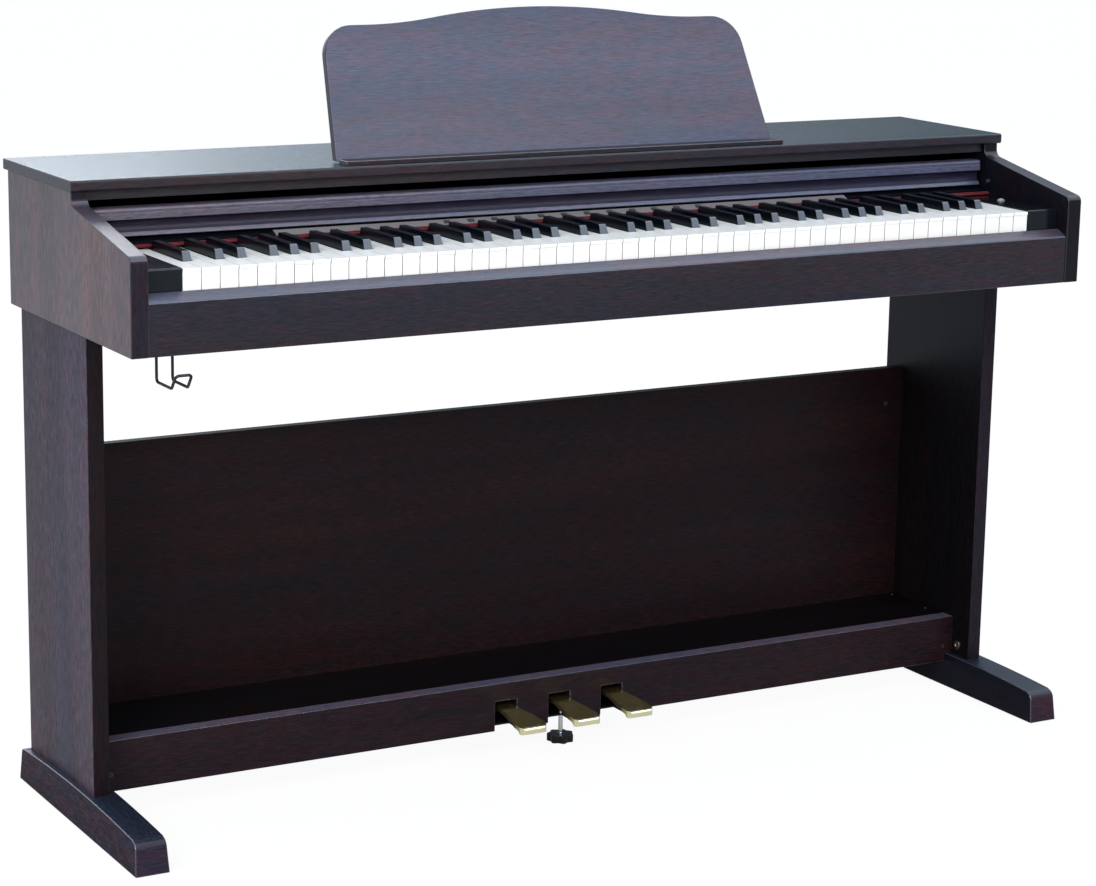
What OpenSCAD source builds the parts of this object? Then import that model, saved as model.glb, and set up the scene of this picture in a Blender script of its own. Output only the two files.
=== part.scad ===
// Digital piano on a wooden stand: 88-key cabinet with sliding key cover, folding music desk and three pedals.
// Millimetres. X runs along the keyboard, +Y is the back, Z = 0 is the floor. The origin is under the middle.
// Sizes called "_y" are distances back from the cabinet's front plane; sizes called "_z" are heights above the floor.

/* [Cabinet] */
// Width of the space beside the keys, from the end key to the side panel
cheek_w = 50; // [40:0.5:80]
// Thickness of the side panels
side_t = 22; // [18:0.5:24]
// Depth of the side panels
side_d = 410.5; // [405:0.5:450]
// Height of the cabinet's underside
case_z = 622.5; // [600:0.5:650]
// Height of the cabinet from its underside to the top of its top board
case_h = 182; // [180:0.5:195]
// Thickness of the top board
top_t = 13.5; // [10:0.5:16]
// How far the top board stands past each side panel
top_side_lap = 2; // [0:0.5:6]
// How far the top board stands past the side panels at the back
top_back_lap = 11.5; // [0:0.5:25]
// Front edge of the top board
top_front_y = 181.5; // [176:0.5:184]
// Upper front edge of a side panel, under the top board
neck_y = 188; // [185.5:0.5:192]
// Radius of the hollow where a side panel's slope meets its neck
neck_r = 11; // [5:0.5:14]
// Slope of a side panel's top edge, in degrees
slope_deg = 10.6; // [8:0.1:11.5]
// Height above the underside at which the slope would meet the front plane
slope_h = 116.3; // [110:0.1:120]
// Radius of a side panel's front corner
nose_r = 9; // [4:0.5:16]
// Thickness of the key bed
bed_t = 16; // [12:0.5:20]
// Thickness of the back board
back_t = 12; // [9:0.5:16]
// Height of the rail under the top board's front edge
frieze_h = 12.5; // [8:0.5:14]
// Thickness of that rail
frieze_t = 16; // [12:0.5:22]
// Front of that rail
frieze_y = 195; // [193:0.5:200]

/* [Key slip and cheek blocks] */
// How far the key slip sits behind the front plane
slip_y = 1.5; // [0.5:0.5:3]
// Height of the key slip's front face
slip_front_h = 64.5; // [58:0.5:66]
// Height of the key slip at its back edge
slip_back_h = 71.5; // [68:0.5:74]
// Radius of the key slip's top front edge
slip_r = 4; // [2:0.5:6]
// Height of the cheek blocks above the key bed
cheek_h = 82; // [79:0.5:82.5]

/* [Keys] */
// Width taken by one white key and its gap
white_pitch = 23.5; // [22.5:0.05:23.6]
// Gap between white keys
key_gap = 1; // [0.6:0.1:1.4]
// Front of the white keys
key_y = 22.3; // [22:0.1:24]
// Height of the white keys' tops above the cabinet's underside
key_h = 96.5; // [94:0.5:97]
// Height of a white key's front
white_front_h = 30; // [26:0.5:32]
// Thickness of a white key's top plate
white_plate_t = 4; // [2:0.5:6]
// How far the top plate stands past the key's front
white_lip = 1.2; // [0.4:0.1:2]
// Back end of the white keys' top plates
white_back_y = 184; // [178:0.5:188]
// Front of the black keys
black_y = 72.5; // [66:0.5:80]
// Back end of the black keys' caps
black_back_y = 171.5; // [160:0.5:172]
// Width of a black key at its foot
black_w = 11.4; // [9:0.1:11.6]
// Width of a black key at its top
black_top_w = 9.4; // [7:0.1:10]
// Height of a black key above the white keys
black_h = 11.3; // [9:0.1:12]
// How far a black key's front leans back
black_lean = 5; // [2:0.5:8]
// Height of a key's tail
tail_h = 15; // [12:0.5:17]
// How far the tail's underside lies below the white keys' tops
tail_drop = 22; // [20:0.5:24]
// Axis of the rod on which the keys turn
pivot_y = 235; // [228:0.5:240]
// Diameter of that rod
pivot_d = 4; // [3:0.5:5]
// Radial clearance of a key on its rod
pivot_play = 0.05; // [0.03:0.01:0.08]

/* [Control panel] */
// Front of the control panel
panel_y = 176; // [175.5:0.5:178]
// Height of the panel's lower front edge above the cabinet's underside
panel_low_h = 99; // [98.5:0.5:100]
// Height of the panel's flat rear part above the cabinet's underside
panel_top_h = 108.5; // [106:0.5:109]
// Thickness of the panel
panel_t = 2.5; // [2:0.5:3]
// Depth of the panel's sloping front
panel_slope_d = 13; // [11:0.5:16]
// Back of the panel
panel_back_y = 330; // [300:1:350]
// Length of the printed strip on the slope
overlay_w = 848; // [600:1:1000]
// Thickness of that strip
overlay_t = 0.6; // [0.4:0.1:1]
// Number of push buttons
button_n = 12; // [4:1:16]
// Spacing of the push buttons
button_pitch = 34; // [20:1:40]
// Length of a push button
button_w = 8; // [6:0.5:16]
// Depth of a push button
button_d = 5; // [4:0.5:7]
// Height of a push button above the strip
button_h = 1.6; // [1.2:0.1:2]
// Travel of a push button
button_travel = 0.8; // [0.5:0.1:1]
// Thickness of the red felt behind the keys
felt_t = 2; // [1.5:0.1:2.4]
// Height of the red felt
felt_h = 4; // [3:0.1:5]
// Diameter of the power button
power_d = 11; // [8:0.5:14]
// Height of the power button
power_h = 3.5; // [3:0.5:5]

/* [Key cover] */
// Front of the key cover's moulding when the cover is open
cover_y = 189; // [188:0.5:192]
// Height of the moulding's underside above the cabinet's underside
cover_low_h = 110.5; // [110:0.5:113]
// Height of the moulding
cover_h = 35; // [32:0.5:38]
// Depth of the moulding
cover_d = 20; // [16:0.5:24]
// Depth of the hollow in the moulding's front
cove_depth = 5; // [3:0.5:7]
// Thickness of the cover's board
cover_board_t = 9; // [7:0.5:10]
// Height of the board's underside above the moulding's underside
cover_board_up = 10; // [8:0.5:12]
// Gap between the open cover's board and the back board
cover_gap = 6.5; // [4:0.5:20]
// How far the cover slides
cover_travel = 160; // [120:1:165]
// Clearance of the board in its tracks
track_play = 0.4; // [0.3:0.1:0.8]
// Depth of a track, from the side panel inwards
track_w = 6; // [5:0.5:8]
// Wall of a track above and below the board
track_wall = 4; // [3:0.5:6]
// Diameter of the pins that carry the board at the front
rest_pin_d = 5; // [4:0.5:6]
// Place of those pins
rest_pin_y = 174; // [160:0.5:180]
// Length of those pins
rest_pin_l = 4.5; // [3:0.5:5]

/* [Music desk] */
// Width of the music desk along its foot
desk_w = 647; // [560:1:700]
// Width of the desk where its corners begin
desk_top_w = 622; // [540:1:640]
// Height of the desk at its shoulders
desk_side_h = 179; // [150:1:185]
// Height of the desk at its crown
desk_peak_h = 198.5; // [180:0.5:205]
// Radius of the desk's upper corners
desk_corner_r = 42; // [20:1:60]
// Half the length of the desk's raised crown
desk_crown = 247; // [200:1:260]
// Half the length of the crown's bulging part
desk_bulge = 152; // [100:1:180]
// Thickness of the desk
desk_t = 12; // [9:0.5:14]
// Backward lean of the open desk, in degrees
desk_lean = 24.7; // [15:0.1:30]
// Axis of the desk's hinges
hinge_y = 237; // [236:0.5:240]
// Height of that axis above the top board
hinge_up = 3.6; // [3.4:0.1:5]
// Distance of that axis behind the desk's back face
hinge_back = 3.5; // [3.2:0.1:5]
// Radius of the hinge knuckles
knuckle_r = 2.8; // [2.4:0.1:3]
// Diameter of the hinge pins
hinge_pin_d = 2.4; // [2:0.1:3]
// Length of a hinge along its pin
hinge_w = 44; // [30:1:60]
// Distance of each hinge from the middle
hinge_x = 232; // [150:1:260]
// Gap between the open desk and the top board
desk_gap = 2; // [1.5:0.1:3]
// Front of the ledge that carries the music
ledge_y = 189; // [186:0.5:195]
// Depth of the ledge
ledge_d = 23; // [12:0.5:24]
// Height of the ledge
ledge_h = 6; // [4:0.5:10]
// Length of the wire prop behind the desk
prop_l = 90; // [60:1:92]
// Diameter of the prop's wire
prop_d = 3.5; // [3:0.1:4]
// Width of the prop
prop_w = 300; // [120:1:340]

/* [Stand] */
// How far the legs' outer faces lie inside the side panels' outer faces
leg_inset = 6.5; // [0:0.5:15]
// Thickness of the legs
leg_t = 21; // [18:0.5:24]
// How far the legs' back edges lie in front of the side panels' back edges
leg_back = 20.5; // [10:0.5:40]
// Depth of the legs
leg_d = 227; // [210:1:240]
// How far a foot stands past its leg on the outside
foot_lap = 10.5; // [4:0.5:16]
// Width of a foot
foot_w = 43.5; // [38:0.5:50]
// Length of a foot
foot_l = 406; // [395:1:430]
// Height of a foot at its middle
foot_h = 48.5; // [44:0.5:56]
// How much a foot's top falls towards its ends
foot_arch = 7; // [2:0.5:10]
// Radius of a foot's front end
foot_nose_r = 11; // [6:0.5:16]
// How far a foot's sides lean in, from the floor to its top
foot_lean = 2.5; // [0.5:0.5:4]
// How far a foot's ends lean in, from the floor to its top
foot_rake = 4; // [1:0.5:6]
// Depth of the groove in a foot that holds the leg
foot_groove = 22; // [12:0.5:28]
// How far the rear panel's back face lies in front of the legs' back edges
rear_back = 27; // [5:1:60]
// Thickness of the rear panel
rear_t = 15; // [12:0.5:18]
// Height of the rear panel's top edge
rear_top_z = 446; // [350:1:560]
// How far the pedal rail's front face lies behind the legs' front edges
rail_set = 39; // [20:1:55]
// Thickness of the pedal rail
rail_t = 22; // [16:0.5:25]
// Height of the pedal rail's lower edge
rail_low_z = 37; // [30:0.5:42]
// Height of the pedal rail
rail_h = 66; // [60:0.5:80]
// Thickness of the shelf behind the pedal rail
shelf_t = 15; // [12:0.5:18]
// Diameter of the bolt heads
bolt_head_d = 13; // [10:0.5:16]
// Diameter of the small screw heads
screw_head_d = 7; // [5:0.5:9]
// Height of the screw heads
screw_head_h = 1.2; // [0.8:0.1:2]

/* [Pedals] */
// Spacing of the pedals
pedal_pitch = 81.5; // [70:0.5:90]
// Width of the slots in the pedal rail
slot_w = 33; // [30:0.5:40]
// Height of the slots above the pedal rail's lower edge
slot_h = 41; // [38:0.5:45]
// Width of a pedal where it leaves the rail
pedal_w = 24; // [18:0.5:28]
// Width of a pedal at its tip
pedal_tip_w = 40; // [30:0.5:42]
// Radius of the corners of a pedal's tip, from above
pedal_corner_r = 8; // [4:0.5:12]
// Depth of the nose that turns down at a pedal's tip
pedal_nose_h = 9.5; // [7:0.5:12]
// Thickness of a pedal
pedal_t = 6; // [4:0.5:7]
// How far a pedal stands out of the rail
pedal_out = 80; // [70:1:100]
// Height of a pedal's top at the rail, above the rail's lower edge
pedal_up = 33.5; // [30:0.5:36]
// How far a pedal's top falls from the rail to its tip
pedal_fall = 7; // [4:0.5:12]
// Distance of the pedals' axis behind the rail's front face
pedal_axis = 98; // [80:1:110]
// Diameter of the rod on which the pedals turn
pedal_rod_d = 6; // [5:0.5:8]
// Length of a pedal's tail behind its axis
pedal_tail = 20; // [16:0.5:24]
// Half the width of the pedal box
box_half = 128; // [120:1:150]
// Wall of the pedal box
box_t = 2; // [1.5:0.1:3]
// Radius of the pedals' springs
spring_r = 6; // [4:0.5:8]
// Distance of the springs in front of the pedals' axis
spring_back = 32; // [26:1:40]
// Diameter of the adjuster's knob
knob_d = 37; // [30:1:44]
// Height of the adjuster's knob
knob_h = 11; // [8:0.5:14]
// Number of lobes on the knob
knob_lobes = 7; // [5:1:9]
// Diameter of the adjuster's rod
adjuster_d = 6; // [5:0.5:8]
// Distance of the adjuster to the right of the middle
adjuster_x = 17.5; // [12:0.5:24]

/* [Headphone hook] */
// Thickness of the hook's wire
hook_d = 3.5; // [3:0.1:5]
// Distance between the wires
hook_w = 20; // [16:0.5:30]
// Radius of the wire's bends
hook_bend = 5; // [3:0.5:6]
// Middle of the hook, left of the keyboard's middle
hook_x = 618.6; // [560:0.1:622]
// Place of the hook's uprights
hook_y = 62; // [60:0.5:90]
// Drop of the hook
hook_drop = 41; // [30:0.5:60]
// Reach of the hook's level part
hook_reach = 46; // [30:0.5:56]
// Height of the hook's raised tip
hook_tip_h = 17; // [10:0.5:24]
// Forward lean of the hook's raised tip
hook_tip_out = 13; // [4:0.5:14]

/* [Sound and electronics] */
// Distance of each speaker from the middle
speaker_x = 470; // [380:1:520]
// Diameter of a speaker's basket
speaker_d = 100; // [86:1:110]
// Depth of a speaker
speaker_h = 46; // [36:1:60]
// Diameter of a speaker's opening in the key bed
speaker_hole_d = 86; // [70:1:90]
// Thickness of a speaker grille
grille_t = 3; // [2:0.5:4]
// Gap between the electronics and the back board
rear_room = 15; // [10:1:30]
// Width of the main board
pcb_w = 340; // [200:5:400]
// Depth of the main board
pcb_d = 90; // [60:1:94]
// Thickness of the main board
pcb_t = 1.6; // [1:0.1:2]
// Middle of the main board, right of the middle
pcb_x = -60; // [-160:1:-30]
// Width of the power supply
supply_w = 100; // [60:1:110]
// Depth of the power supply
supply_d = 80; // [50:1:94]
// Height of the power supply
supply_h = 42; // [30:1:50]
// Middle of the power supply, right of the middle
supply_x = 200; // [190:1:210]
// Width of the socket plate on the back board
plate_w = 150; // [120:1:180]
// Height of the socket plate
plate_h = 40; // [34:1:50]
// Thickness of the socket plate
plate_t = 3; // [2:0.5:4]
// Middle of the socket plate, right of the middle
plate_x = 300; // [200:1:420]
// Radius of a 6.35 mm jack socket's bore
jack_r = 3.25; // [3.2:0.01:3.3]
// Length of a jack socket's bore
jack_l = 16; // [12:0.5:20]

/* [Hidden] */
$fn = 48;

// Fits shared by more than one piece
seat_gap = 0.3;                              // pieces that rest on each other but may move apart
rod_play = 0.05;                             // a hinge or pedal on its pin

// Keys
key_z = case_z + key_h;
white_n = 52;
keys_half = white_n * white_pitch / 2;
cheek_x = keys_half + key_gap / 2;
octave = 7 * white_pitch;
low_step = 3 * white_pitch / 5;              // room for one key's tail between C and E
high_step = 4 * white_pitch / 7;             // the same between F and B
first_c = 2 * white_pitch - keys_half;
pivot_z = key_z - tail_drop + tail_h / 2;
key_dip = 10;                                // the white keys' travel at the front
stop_z = key_z - white_front_h - key_dip - 3;
frame_rail_d = 16;                           // depth of the key frame's rails

// Cabinet
overall_d = side_d + top_back_lap;
front = -overall_d / 2;
inner_half = cheek_x + cheek_w;
case_half = inner_half + side_t;
top_z = case_z + case_h;
side_top_z = top_z - top_t;
bed_z = case_z + bed_t;
back_y = side_d - back_t;
speaker_y = (pivot_y + frame_rail_d + back_y) / 2;
slip_back_y = key_y - key_gap;

// Control panel
panel_low_z = case_z + panel_low_h;
panel_top_z = case_z + panel_top_h;
panel_lip_h = 3.5;
panel_deg = atan((panel_top_z - panel_low_z - panel_lip_h) / panel_slope_d);

// Key cover
cover_z = case_z + cover_low_h;
board_z = cover_z + cover_board_up;
cover_back_y = back_y - cover_gap;
board_half = inner_half - track_w + 4;
runner_l = 14;

// Music desk
axis_z = top_z + hinge_up;
desk_face = hinge_back + desk_t;             // from the hinge axis to the desk's front face
desk_toe = (hinge_up + desk_face * sin(desk_lean) - desk_gap) / cos(desk_lean);
prop_pad_r = hinge_up - seat_gap;
prop_foot_deg = -(90 - desk_lean);           // direction of the prop, which mirrors the desk
clip_r = hinge_back - 0.2;
clip_w = 8;

// Stand
leg_x = case_half - leg_inset - leg_t;       // inner face of a leg
foot_x = leg_x + leg_t + foot_lap - foot_w;  // inner face of a foot
leg_y = side_d - leg_back - leg_d;
rear_y = leg_y + leg_d - rear_back - rear_t;
rail_y = leg_y + rail_set;
rail_top_z = rail_low_z + rail_h;
rail_back_y = rail_y + rail_t;
shelf_z = rail_top_z - shelf_t;
box_top_z = shelf_z;
box_back_y = rail_y + pedal_axis + pedal_tail + 14;
pedal_axis_y = rail_y + pedal_axis;
pedal_z = rail_low_z + pedal_up;             // top of a pedal at the rail
pedal_hub = 14;
pedal_axis_z = pedal_z - pedal_rod_d / 2 - 3;
adjuster_y = rail_back_y + adjuster_d / 2 + 1;

// ---- helpers -------------------------------------------------------------

// A box from corner to corner, with its depth counted from the front plane
module block(x, y, z) {
    translate([x[0], front + y[0], z[0]]) cube([x[1] - x[0], y[1] - y[0], z[1] - z[0]]);
}

// A depth-height outline drawn out along the keyboard
module along_x(x0, x1) {
    translate([x0, front, 0]) rotate([90, 0, 90]) linear_extrude(x1 - x0) children();
}

// A profile in x and z, carried from front to back
module along_y(y0, y1) {
    translate([0, front + y1, 0]) rotate([90, 0, 0]) linear_extrude(y1 - y0) children();
}

// A cylinder along the keyboard
module rod_x(x0, x1, y, z, r) {
    translate([x0, front + y, z]) rotate([0, 90, 0]) cylinder(r = r, h = x1 - x0);
}

// An upright cylinder
module post(x, y, z0, z1, r) {
    translate([x, front + y, z0]) cylinder(r = r, h = z1 - z0);
}

// A straight wire between two points
module wire(p, q, r) {
    v = q - p;
    translate(p) rotate([0, acos(v[2] / norm(v)), atan2(v[1], v[0])]) cylinder(r = r, h = norm(v));
}

// A bent wire through a list of points
module bent_wire(points, r) {
    for (i = [0 : len(points) - 2]) wire(points[i], points[i + 1], r);
    for (i = [1 : len(points) - 2]) translate(points[i]) sphere(r = r + 0.06, $fn = 24);
}

module both_sides() {
    children();
    mirror([1, 0, 0]) children();
}

function arc(c, r, a0, a1, n = 8) =
    [for (i = [0 : n]) c + r * [cos(a0 + (a1 - a0) * i / n), sin(a0 + (a1 - a0) * i / n)]];

// ---- cabinet -------------------------------------------------------------

function slope_z(y) = case_z + slope_h + y * tan(slope_deg);

module side_outline() {
    neck_c = [neck_y - neck_r, slope_z(neck_y - neck_r) + neck_r / cos(slope_deg)];
    nose_c = [nose_r, slope_z(nose_r) - nose_r / cos(slope_deg)];
    polygon(concat(
        [[0, case_z], [side_d, case_z], [side_d, side_top_z], [neck_y, side_top_z]],
        arc(neck_c, neck_r, 0, slope_deg - 90),
        arc(nose_c, nose_r, 90 + slope_deg, 180)));
}

module right_side_panel() {
    color("#4a3d3c") along_x(inner_half, case_half) side_outline();
}

module left_side_panel() {
    mirror([1, 0, 0]) right_side_panel();
}

module top_board() {
    edge_r = 3;
    half = case_half + top_side_lap;
    color("#4d4a52") along_x(-half, half)
        polygon(concat(
            arc([top_front_y + edge_r, side_top_z + edge_r], edge_r, 270, 180, 5),
            arc([top_front_y + edge_r, top_z - edge_r], edge_r, 180, 90, 5),
            [[overall_d, top_z], [overall_d, side_top_z]]));
}

module upper_front_rail() {
    color("#3a3034") block([-inner_half, inner_half], [frieze_y, frieze_y + frieze_t],
        [side_top_z - frieze_h, side_top_z]);
}

module back_board() {
    plate_z = (case_z + side_top_z) / 2;
    cut = 5;
    color("#332a2c") difference() {
        block([-inner_half, inner_half], [back_y, side_d], [case_z, side_top_z]);
        block([plate_x - plate_w / 2 + cut, plate_x + plate_w / 2 - cut], [back_y - 1, side_d + 1],
            [plate_z - plate_h / 2 + cut, plate_z + plate_h / 2 - cut]);
    }
}

module key_bed() {
    color("#3b3032") difference() {
        block([-inner_half, inner_half], [slip_back_y, back_y], [case_z, bed_z]);
        both_sides() post(speaker_x, speaker_y, case_z - 1, bed_z + 1, speaker_hole_d / 2);
    }
}

module key_slip() {
    front_z = case_z + slip_front_h;
    color("#45383b") along_x(-inner_half, inner_half)
        polygon(concat(
            [[slip_y, case_z]],
            arc([slip_y + slip_r, front_z - slip_r], slip_r, 180, 110, 5),
            [[slip_back_y - 2, case_z + slip_back_h], [slip_back_y, case_z + slip_back_h - 1.5],
             [slip_back_y, case_z]]));
}

module cheek_blank() {
    edge = 1.5;
    along_x(cheek_x, inner_half)
        polygon([[key_y, bed_z], [key_y, bed_z + cheek_h - edge], [key_y + edge, bed_z + cheek_h],
            [panel_y - felt_t - seat_gap, bed_z + cheek_h], [panel_y - felt_t - seat_gap, bed_z]]);
}

power_x = inner_half - 22;
power_y = 118;
power_well = 6;
power_foot_r = power_d / 2 + 2;

module right_cheek_block() {
    color("#15181a") difference() {
        cheek_blank();
        post(power_x, power_y, bed_z + cheek_h - power_well, bed_z + cheek_h + 1, power_d / 2 + seat_gap);
    }
}

module left_cheek_block() {
    color("#15181a") mirror([1, 0, 0]) cheek_blank();
}

module power_button() {
    travel = 2;
    color("#2a2d30")
        post(power_x, power_y, bed_z + cheek_h - power_well + travel + seat_gap, bed_z + cheek_h + power_h,
            power_d / 2);
}

// ---- control panel -------------------------------------------------------

button_y = 4.6;                              // start of the buttons, up the slope

// Places its children on the sloping front, with z = 0 on the slope and y up the slope
module on_slope(y_up, z_up) {
    translate([0, front + panel_y, panel_low_z + panel_lip_h]) rotate([panel_deg, 0, 0])
        translate([0, y_up, z_up]) children();
}

module control_panel() {
    button_hole = 0.4;
    rise = panel_t / cos(panel_deg);
    color("#101214") difference() {
        along_x(-inner_half, inner_half)
            polygon([[panel_y, panel_low_z], [panel_y, panel_low_z + panel_lip_h],
                [panel_y + panel_slope_d, panel_top_z], [panel_back_y, panel_top_z],
                [panel_back_y, panel_top_z - panel_t],
                [panel_y + panel_slope_d + 1, panel_top_z - panel_t],
                [panel_y + panel_t, panel_low_z + panel_lip_h + panel_t * tan(panel_deg) - rise],
                [panel_y + panel_t, panel_low_z]]);
        button_places() on_slope(button_y - button_hole, -8)
            translate([-button_w / 2 - button_hole, 0, 0])
                cube([button_w + 2 * button_hole, button_d + 2 * button_hole, 10]);
    }
}

module button_places() {
    for (i = [0 : button_n - 1])
        translate([(i - (button_n - 1) / 2) * button_pitch, 0, 0]) children();
}

module panel_overlay() {
    button_hole = 0.4;
    margin = 1;
    color("#6b6460") difference() {
        translate([-overlay_w / 2, 0, 0]) on_slope(margin, 0)
            cube([overlay_w, panel_slope_d / cos(panel_deg) - 2 * margin, overlay_t]);
        button_places() on_slope(button_y - button_hole, -1)
            translate([-button_w / 2 - button_hole, 0, 0])
                cube([button_w + 2 * button_hole, button_d + 2 * button_hole, 4]);
    }
}

module panel_buttons() {
    color("#3a3838") button_places() on_slope(button_y, -3)
        translate([-button_w / 2, 0, 0]) cube([button_w, button_d, 3 + overlay_t + button_h]);
}

module felt_strip() {
    color("#a01f2a") block([-inner_half, inner_half], [panel_y - felt_t, panel_y],
        [panel_low_z, panel_low_z + felt_h]);
}

// ---- keyboard ------------------------------------------------------------

// Semitones from C: where a key's tail begins and ends
function tail_x(semitone) = semitone <= 5 ? semitone * low_step
    : 3 * white_pitch + (semitone - 5) * high_step;

// One white key, with its C at x = 0: its place in the octave, and its tail's two ends
module white_key(step, x0, x1) {
    left = step * white_pitch + key_gap / 2;
    right = (step + 1) * white_pitch - key_gap / 2;
    side = 0.4;
    tail_w = low_step - 2 * side - 2;
    mid = (max(x0, left) + min(x1, right)) / 2;
    a = max(x0 + side, left);
    b = min(x1 - side, right);
    difference() {
        union() {
            block([left, right], [key_y, black_y - 1.5], [key_z - white_plate_t, key_z]);
            block([left, right], [key_y + white_lip, black_y - 1.5],
                [key_z - white_front_h, key_z - white_plate_t]);
            block([a, b], [black_y - 1.5, white_back_y], [key_z - white_front_h, key_z]);
            block([mid - tail_w / 2, mid + tail_w / 2], [white_back_y, pivot_y + pivot_d + 2],
                [key_z - tail_drop, key_z - tail_drop + tail_h]);
        }
        rod_x(left - 1, right + 1, pivot_y, pivot_z, pivot_d / 2 + pivot_play);
    }
}

module white_row(step, semitone, octaves) {
    color("#f4f3ee") for (i = octaves)
        translate([first_c + i * octave, 0, 0]) white_key(step, tail_x(semitone), tail_x(semitone + 1));
}

module black_row(semitone, octaves) {
    mid = (tail_x(semitone) + tail_x(semitone + 1)) / 2;
    color("#17181a") for (i = octaves)
        translate([first_c + i * octave + mid, 0, 0]) black_key();
}

module black_key() {
    foot_z = key_z - white_front_h;
    back_lean = 1;
    tail_w = low_step - 2.8;
    difference() {
        union() {
            intersection() {
                translate([0, front + black_back_y, 0]) rotate([90, 0, 0])
                    linear_extrude(black_back_y - black_y)
                        polygon([[-black_w / 2, foot_z], [black_w / 2, foot_z], [black_w / 2, key_z],
                            [black_top_w / 2, key_z + black_h], [-black_top_w / 2, key_z + black_h],
                            [-black_w / 2, key_z]]);
                along_x(-black_w, black_w)
                    polygon([[black_y, foot_z], [black_y, key_z], [black_y + black_lean, key_z + black_h - 1],
                        [black_y + black_lean + 2, key_z + black_h],
                        [black_back_y - back_lean, key_z + black_h], [black_back_y, key_z],
                        [black_back_y, foot_z]]);
            }
            block([-tail_w / 2, tail_w / 2], [black_back_y, pivot_y + pivot_d + 2],
                [key_z - tail_drop, key_z - tail_drop + tail_h]);
        }
        rod_x(-black_w, black_w, pivot_y, pivot_z, pivot_d / 2 + pivot_play);
    }
}

// The lowest key and the highest have a black key on one side only, or on neither
module lowest_key() {
    color("#f4f3ee") translate([first_c - octave, 0, 0]) white_key(5, 5 * white_pitch, tail_x(10));
}

module highest_key() {
    color("#f4f3ee") translate([first_c + 7 * octave, 0, 0]) white_key(0, 0, white_pitch);
}

module white_keys_c() {
    white_row(0, 0, [0 : 6]);
    highest_key();
}

module white_keys_d() { white_row(1, 2, [0 : 6]); }
module white_keys_e() { white_row(2, 4, [0 : 6]); }
module white_keys_f() { white_row(3, 5, [0 : 6]); }
module white_keys_g() { white_row(4, 7, [0 : 6]); }

module white_keys_a() {
    white_row(5, 9, [0 : 6]);
    lowest_key();
}

module white_keys_b() { white_row(6, 11, [-1 : 6]); }
module black_keys_c_sharp() { black_row(1, [0 : 6]); }
module black_keys_d_sharp() { black_row(3, [0 : 6]); }
module black_keys_f_sharp() { black_row(6, [0 : 6]); }
module black_keys_g_sharp() { black_row(8, [0 : 6]); }
module black_keys_a_sharp() { black_row(10, [-1 : 6]); }

module key_pivot_rod() {
    color("#b8babd") rod_x(-cheek_x, cheek_x, pivot_y, pivot_z, pivot_d / 2);
}

module key_frame() {
    rail_d = frame_rail_d;
    ear_w = 6;
    below_tail = 1.5;
    color("#2b2d30") {
        // front rail, on which the pressed keys come to rest
        block([-cheek_x, cheek_x], [key_y + 14, key_y + 14 + rail_d], [bed_z, stop_z]);
        // rear rail, with an ear at each end that holds the rod
        block([-cheek_x, cheek_x], [pivot_y - 4, pivot_y + rail_d],
            [bed_z, key_z - tail_drop - below_tail]);
        both_sides() difference() {
            block([cheek_x, cheek_x + ear_w], [pivot_y - 8, pivot_y + rail_d], [bed_z, pivot_z + 8]);
            rod_x(cheek_x - ear_w, cheek_x, pivot_y, pivot_z, pivot_d / 2);
        }
    }
}

// ---- key cover -----------------------------------------------------------

cover_half = inner_half - rest_pin_l - 0.7;

module cover_moulding() {
    top = cover_z + cover_h;
    lip = 5.5;                       // the plain strip below the hollow
    band = 13;                       // the plain band above it
    cove_c = [cover_y - 2, (cover_z + lip + top - band) / 2];
    cove_half = (top - band - cover_z - lip) / 2;
    cove_r = (cove_depth + 2) / 2 + cove_half * cove_half / (2 * (cove_depth + 2));
    cove_a = asin(cove_half / cove_r);
    cove_mid = cove_c + [cove_depth + 2 - cove_r, 0];
    color("#3f3540") along_x(-cover_half, cover_half)
        polygon(concat(
            [[cover_y + cover_d, top], [cover_y + 6, top]],
            arc([cover_y + 6, top - 5], 5, 90, 160, 5),
            [[cover_y, top - 6.5], [cover_y, top - band]],
            arc(cove_mid, cove_r, cove_a * 0.72, -cove_a * 0.72, 8),
            [[cover_y, cover_z + lip], [cover_y, cover_z + 1.5], [cover_y + 1.5, cover_z],
             [cover_y + cover_d, cover_z]]));
}

module cover_board() {
    color("#362c30") difference() {
        block([-board_half, board_half], [cover_y + cover_d, cover_back_y],
            [board_z, board_z + cover_board_t]);
        both_sides() block([board_half - runner_w, board_half + 1], [cover_back_y - runner_l, cover_back_y + 1],
            [board_z - 1, board_z + cover_board_t + 1]);
    }
}

runner_w = 4;

// Nylon shoes on the board's rear corners, which run in the tracks
module cover_runners() {
    color("#d8d4c8") both_sides() block([board_half - runner_w, board_half],
        [cover_back_y - runner_l, cover_back_y], [board_z, board_z + cover_board_t]);
}

module cover_tracks() {
    slot_x = board_half + track_play;
    color("#24262a") both_sides() {
        difference() {
            block([inner_half - track_w, inner_half], [cover_y + cover_d + 4, back_y],
                [board_z - track_play - track_wall, board_z + cover_board_t + track_play + track_wall]);
            block([inner_half - track_w - 1, slot_x], [cover_y + cover_d + 3, back_y + 1],
                [board_z - track_play, board_z + cover_board_t + track_play]);
        }
        rod_x(inner_half - rest_pin_l, inner_half, rest_pin_y, board_z - seat_gap - rest_pin_d / 2,
            rest_pin_d / 2);
    }
}

// ---- music desk ----------------------------------------------------------

// Places its children on the hinge axis: y up the open desk, z towards its front face
module on_desk() {
    translate([0, front + hinge_y, axis_z]) rotate([90 - desk_lean, 0, 0]) children();
}

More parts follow.
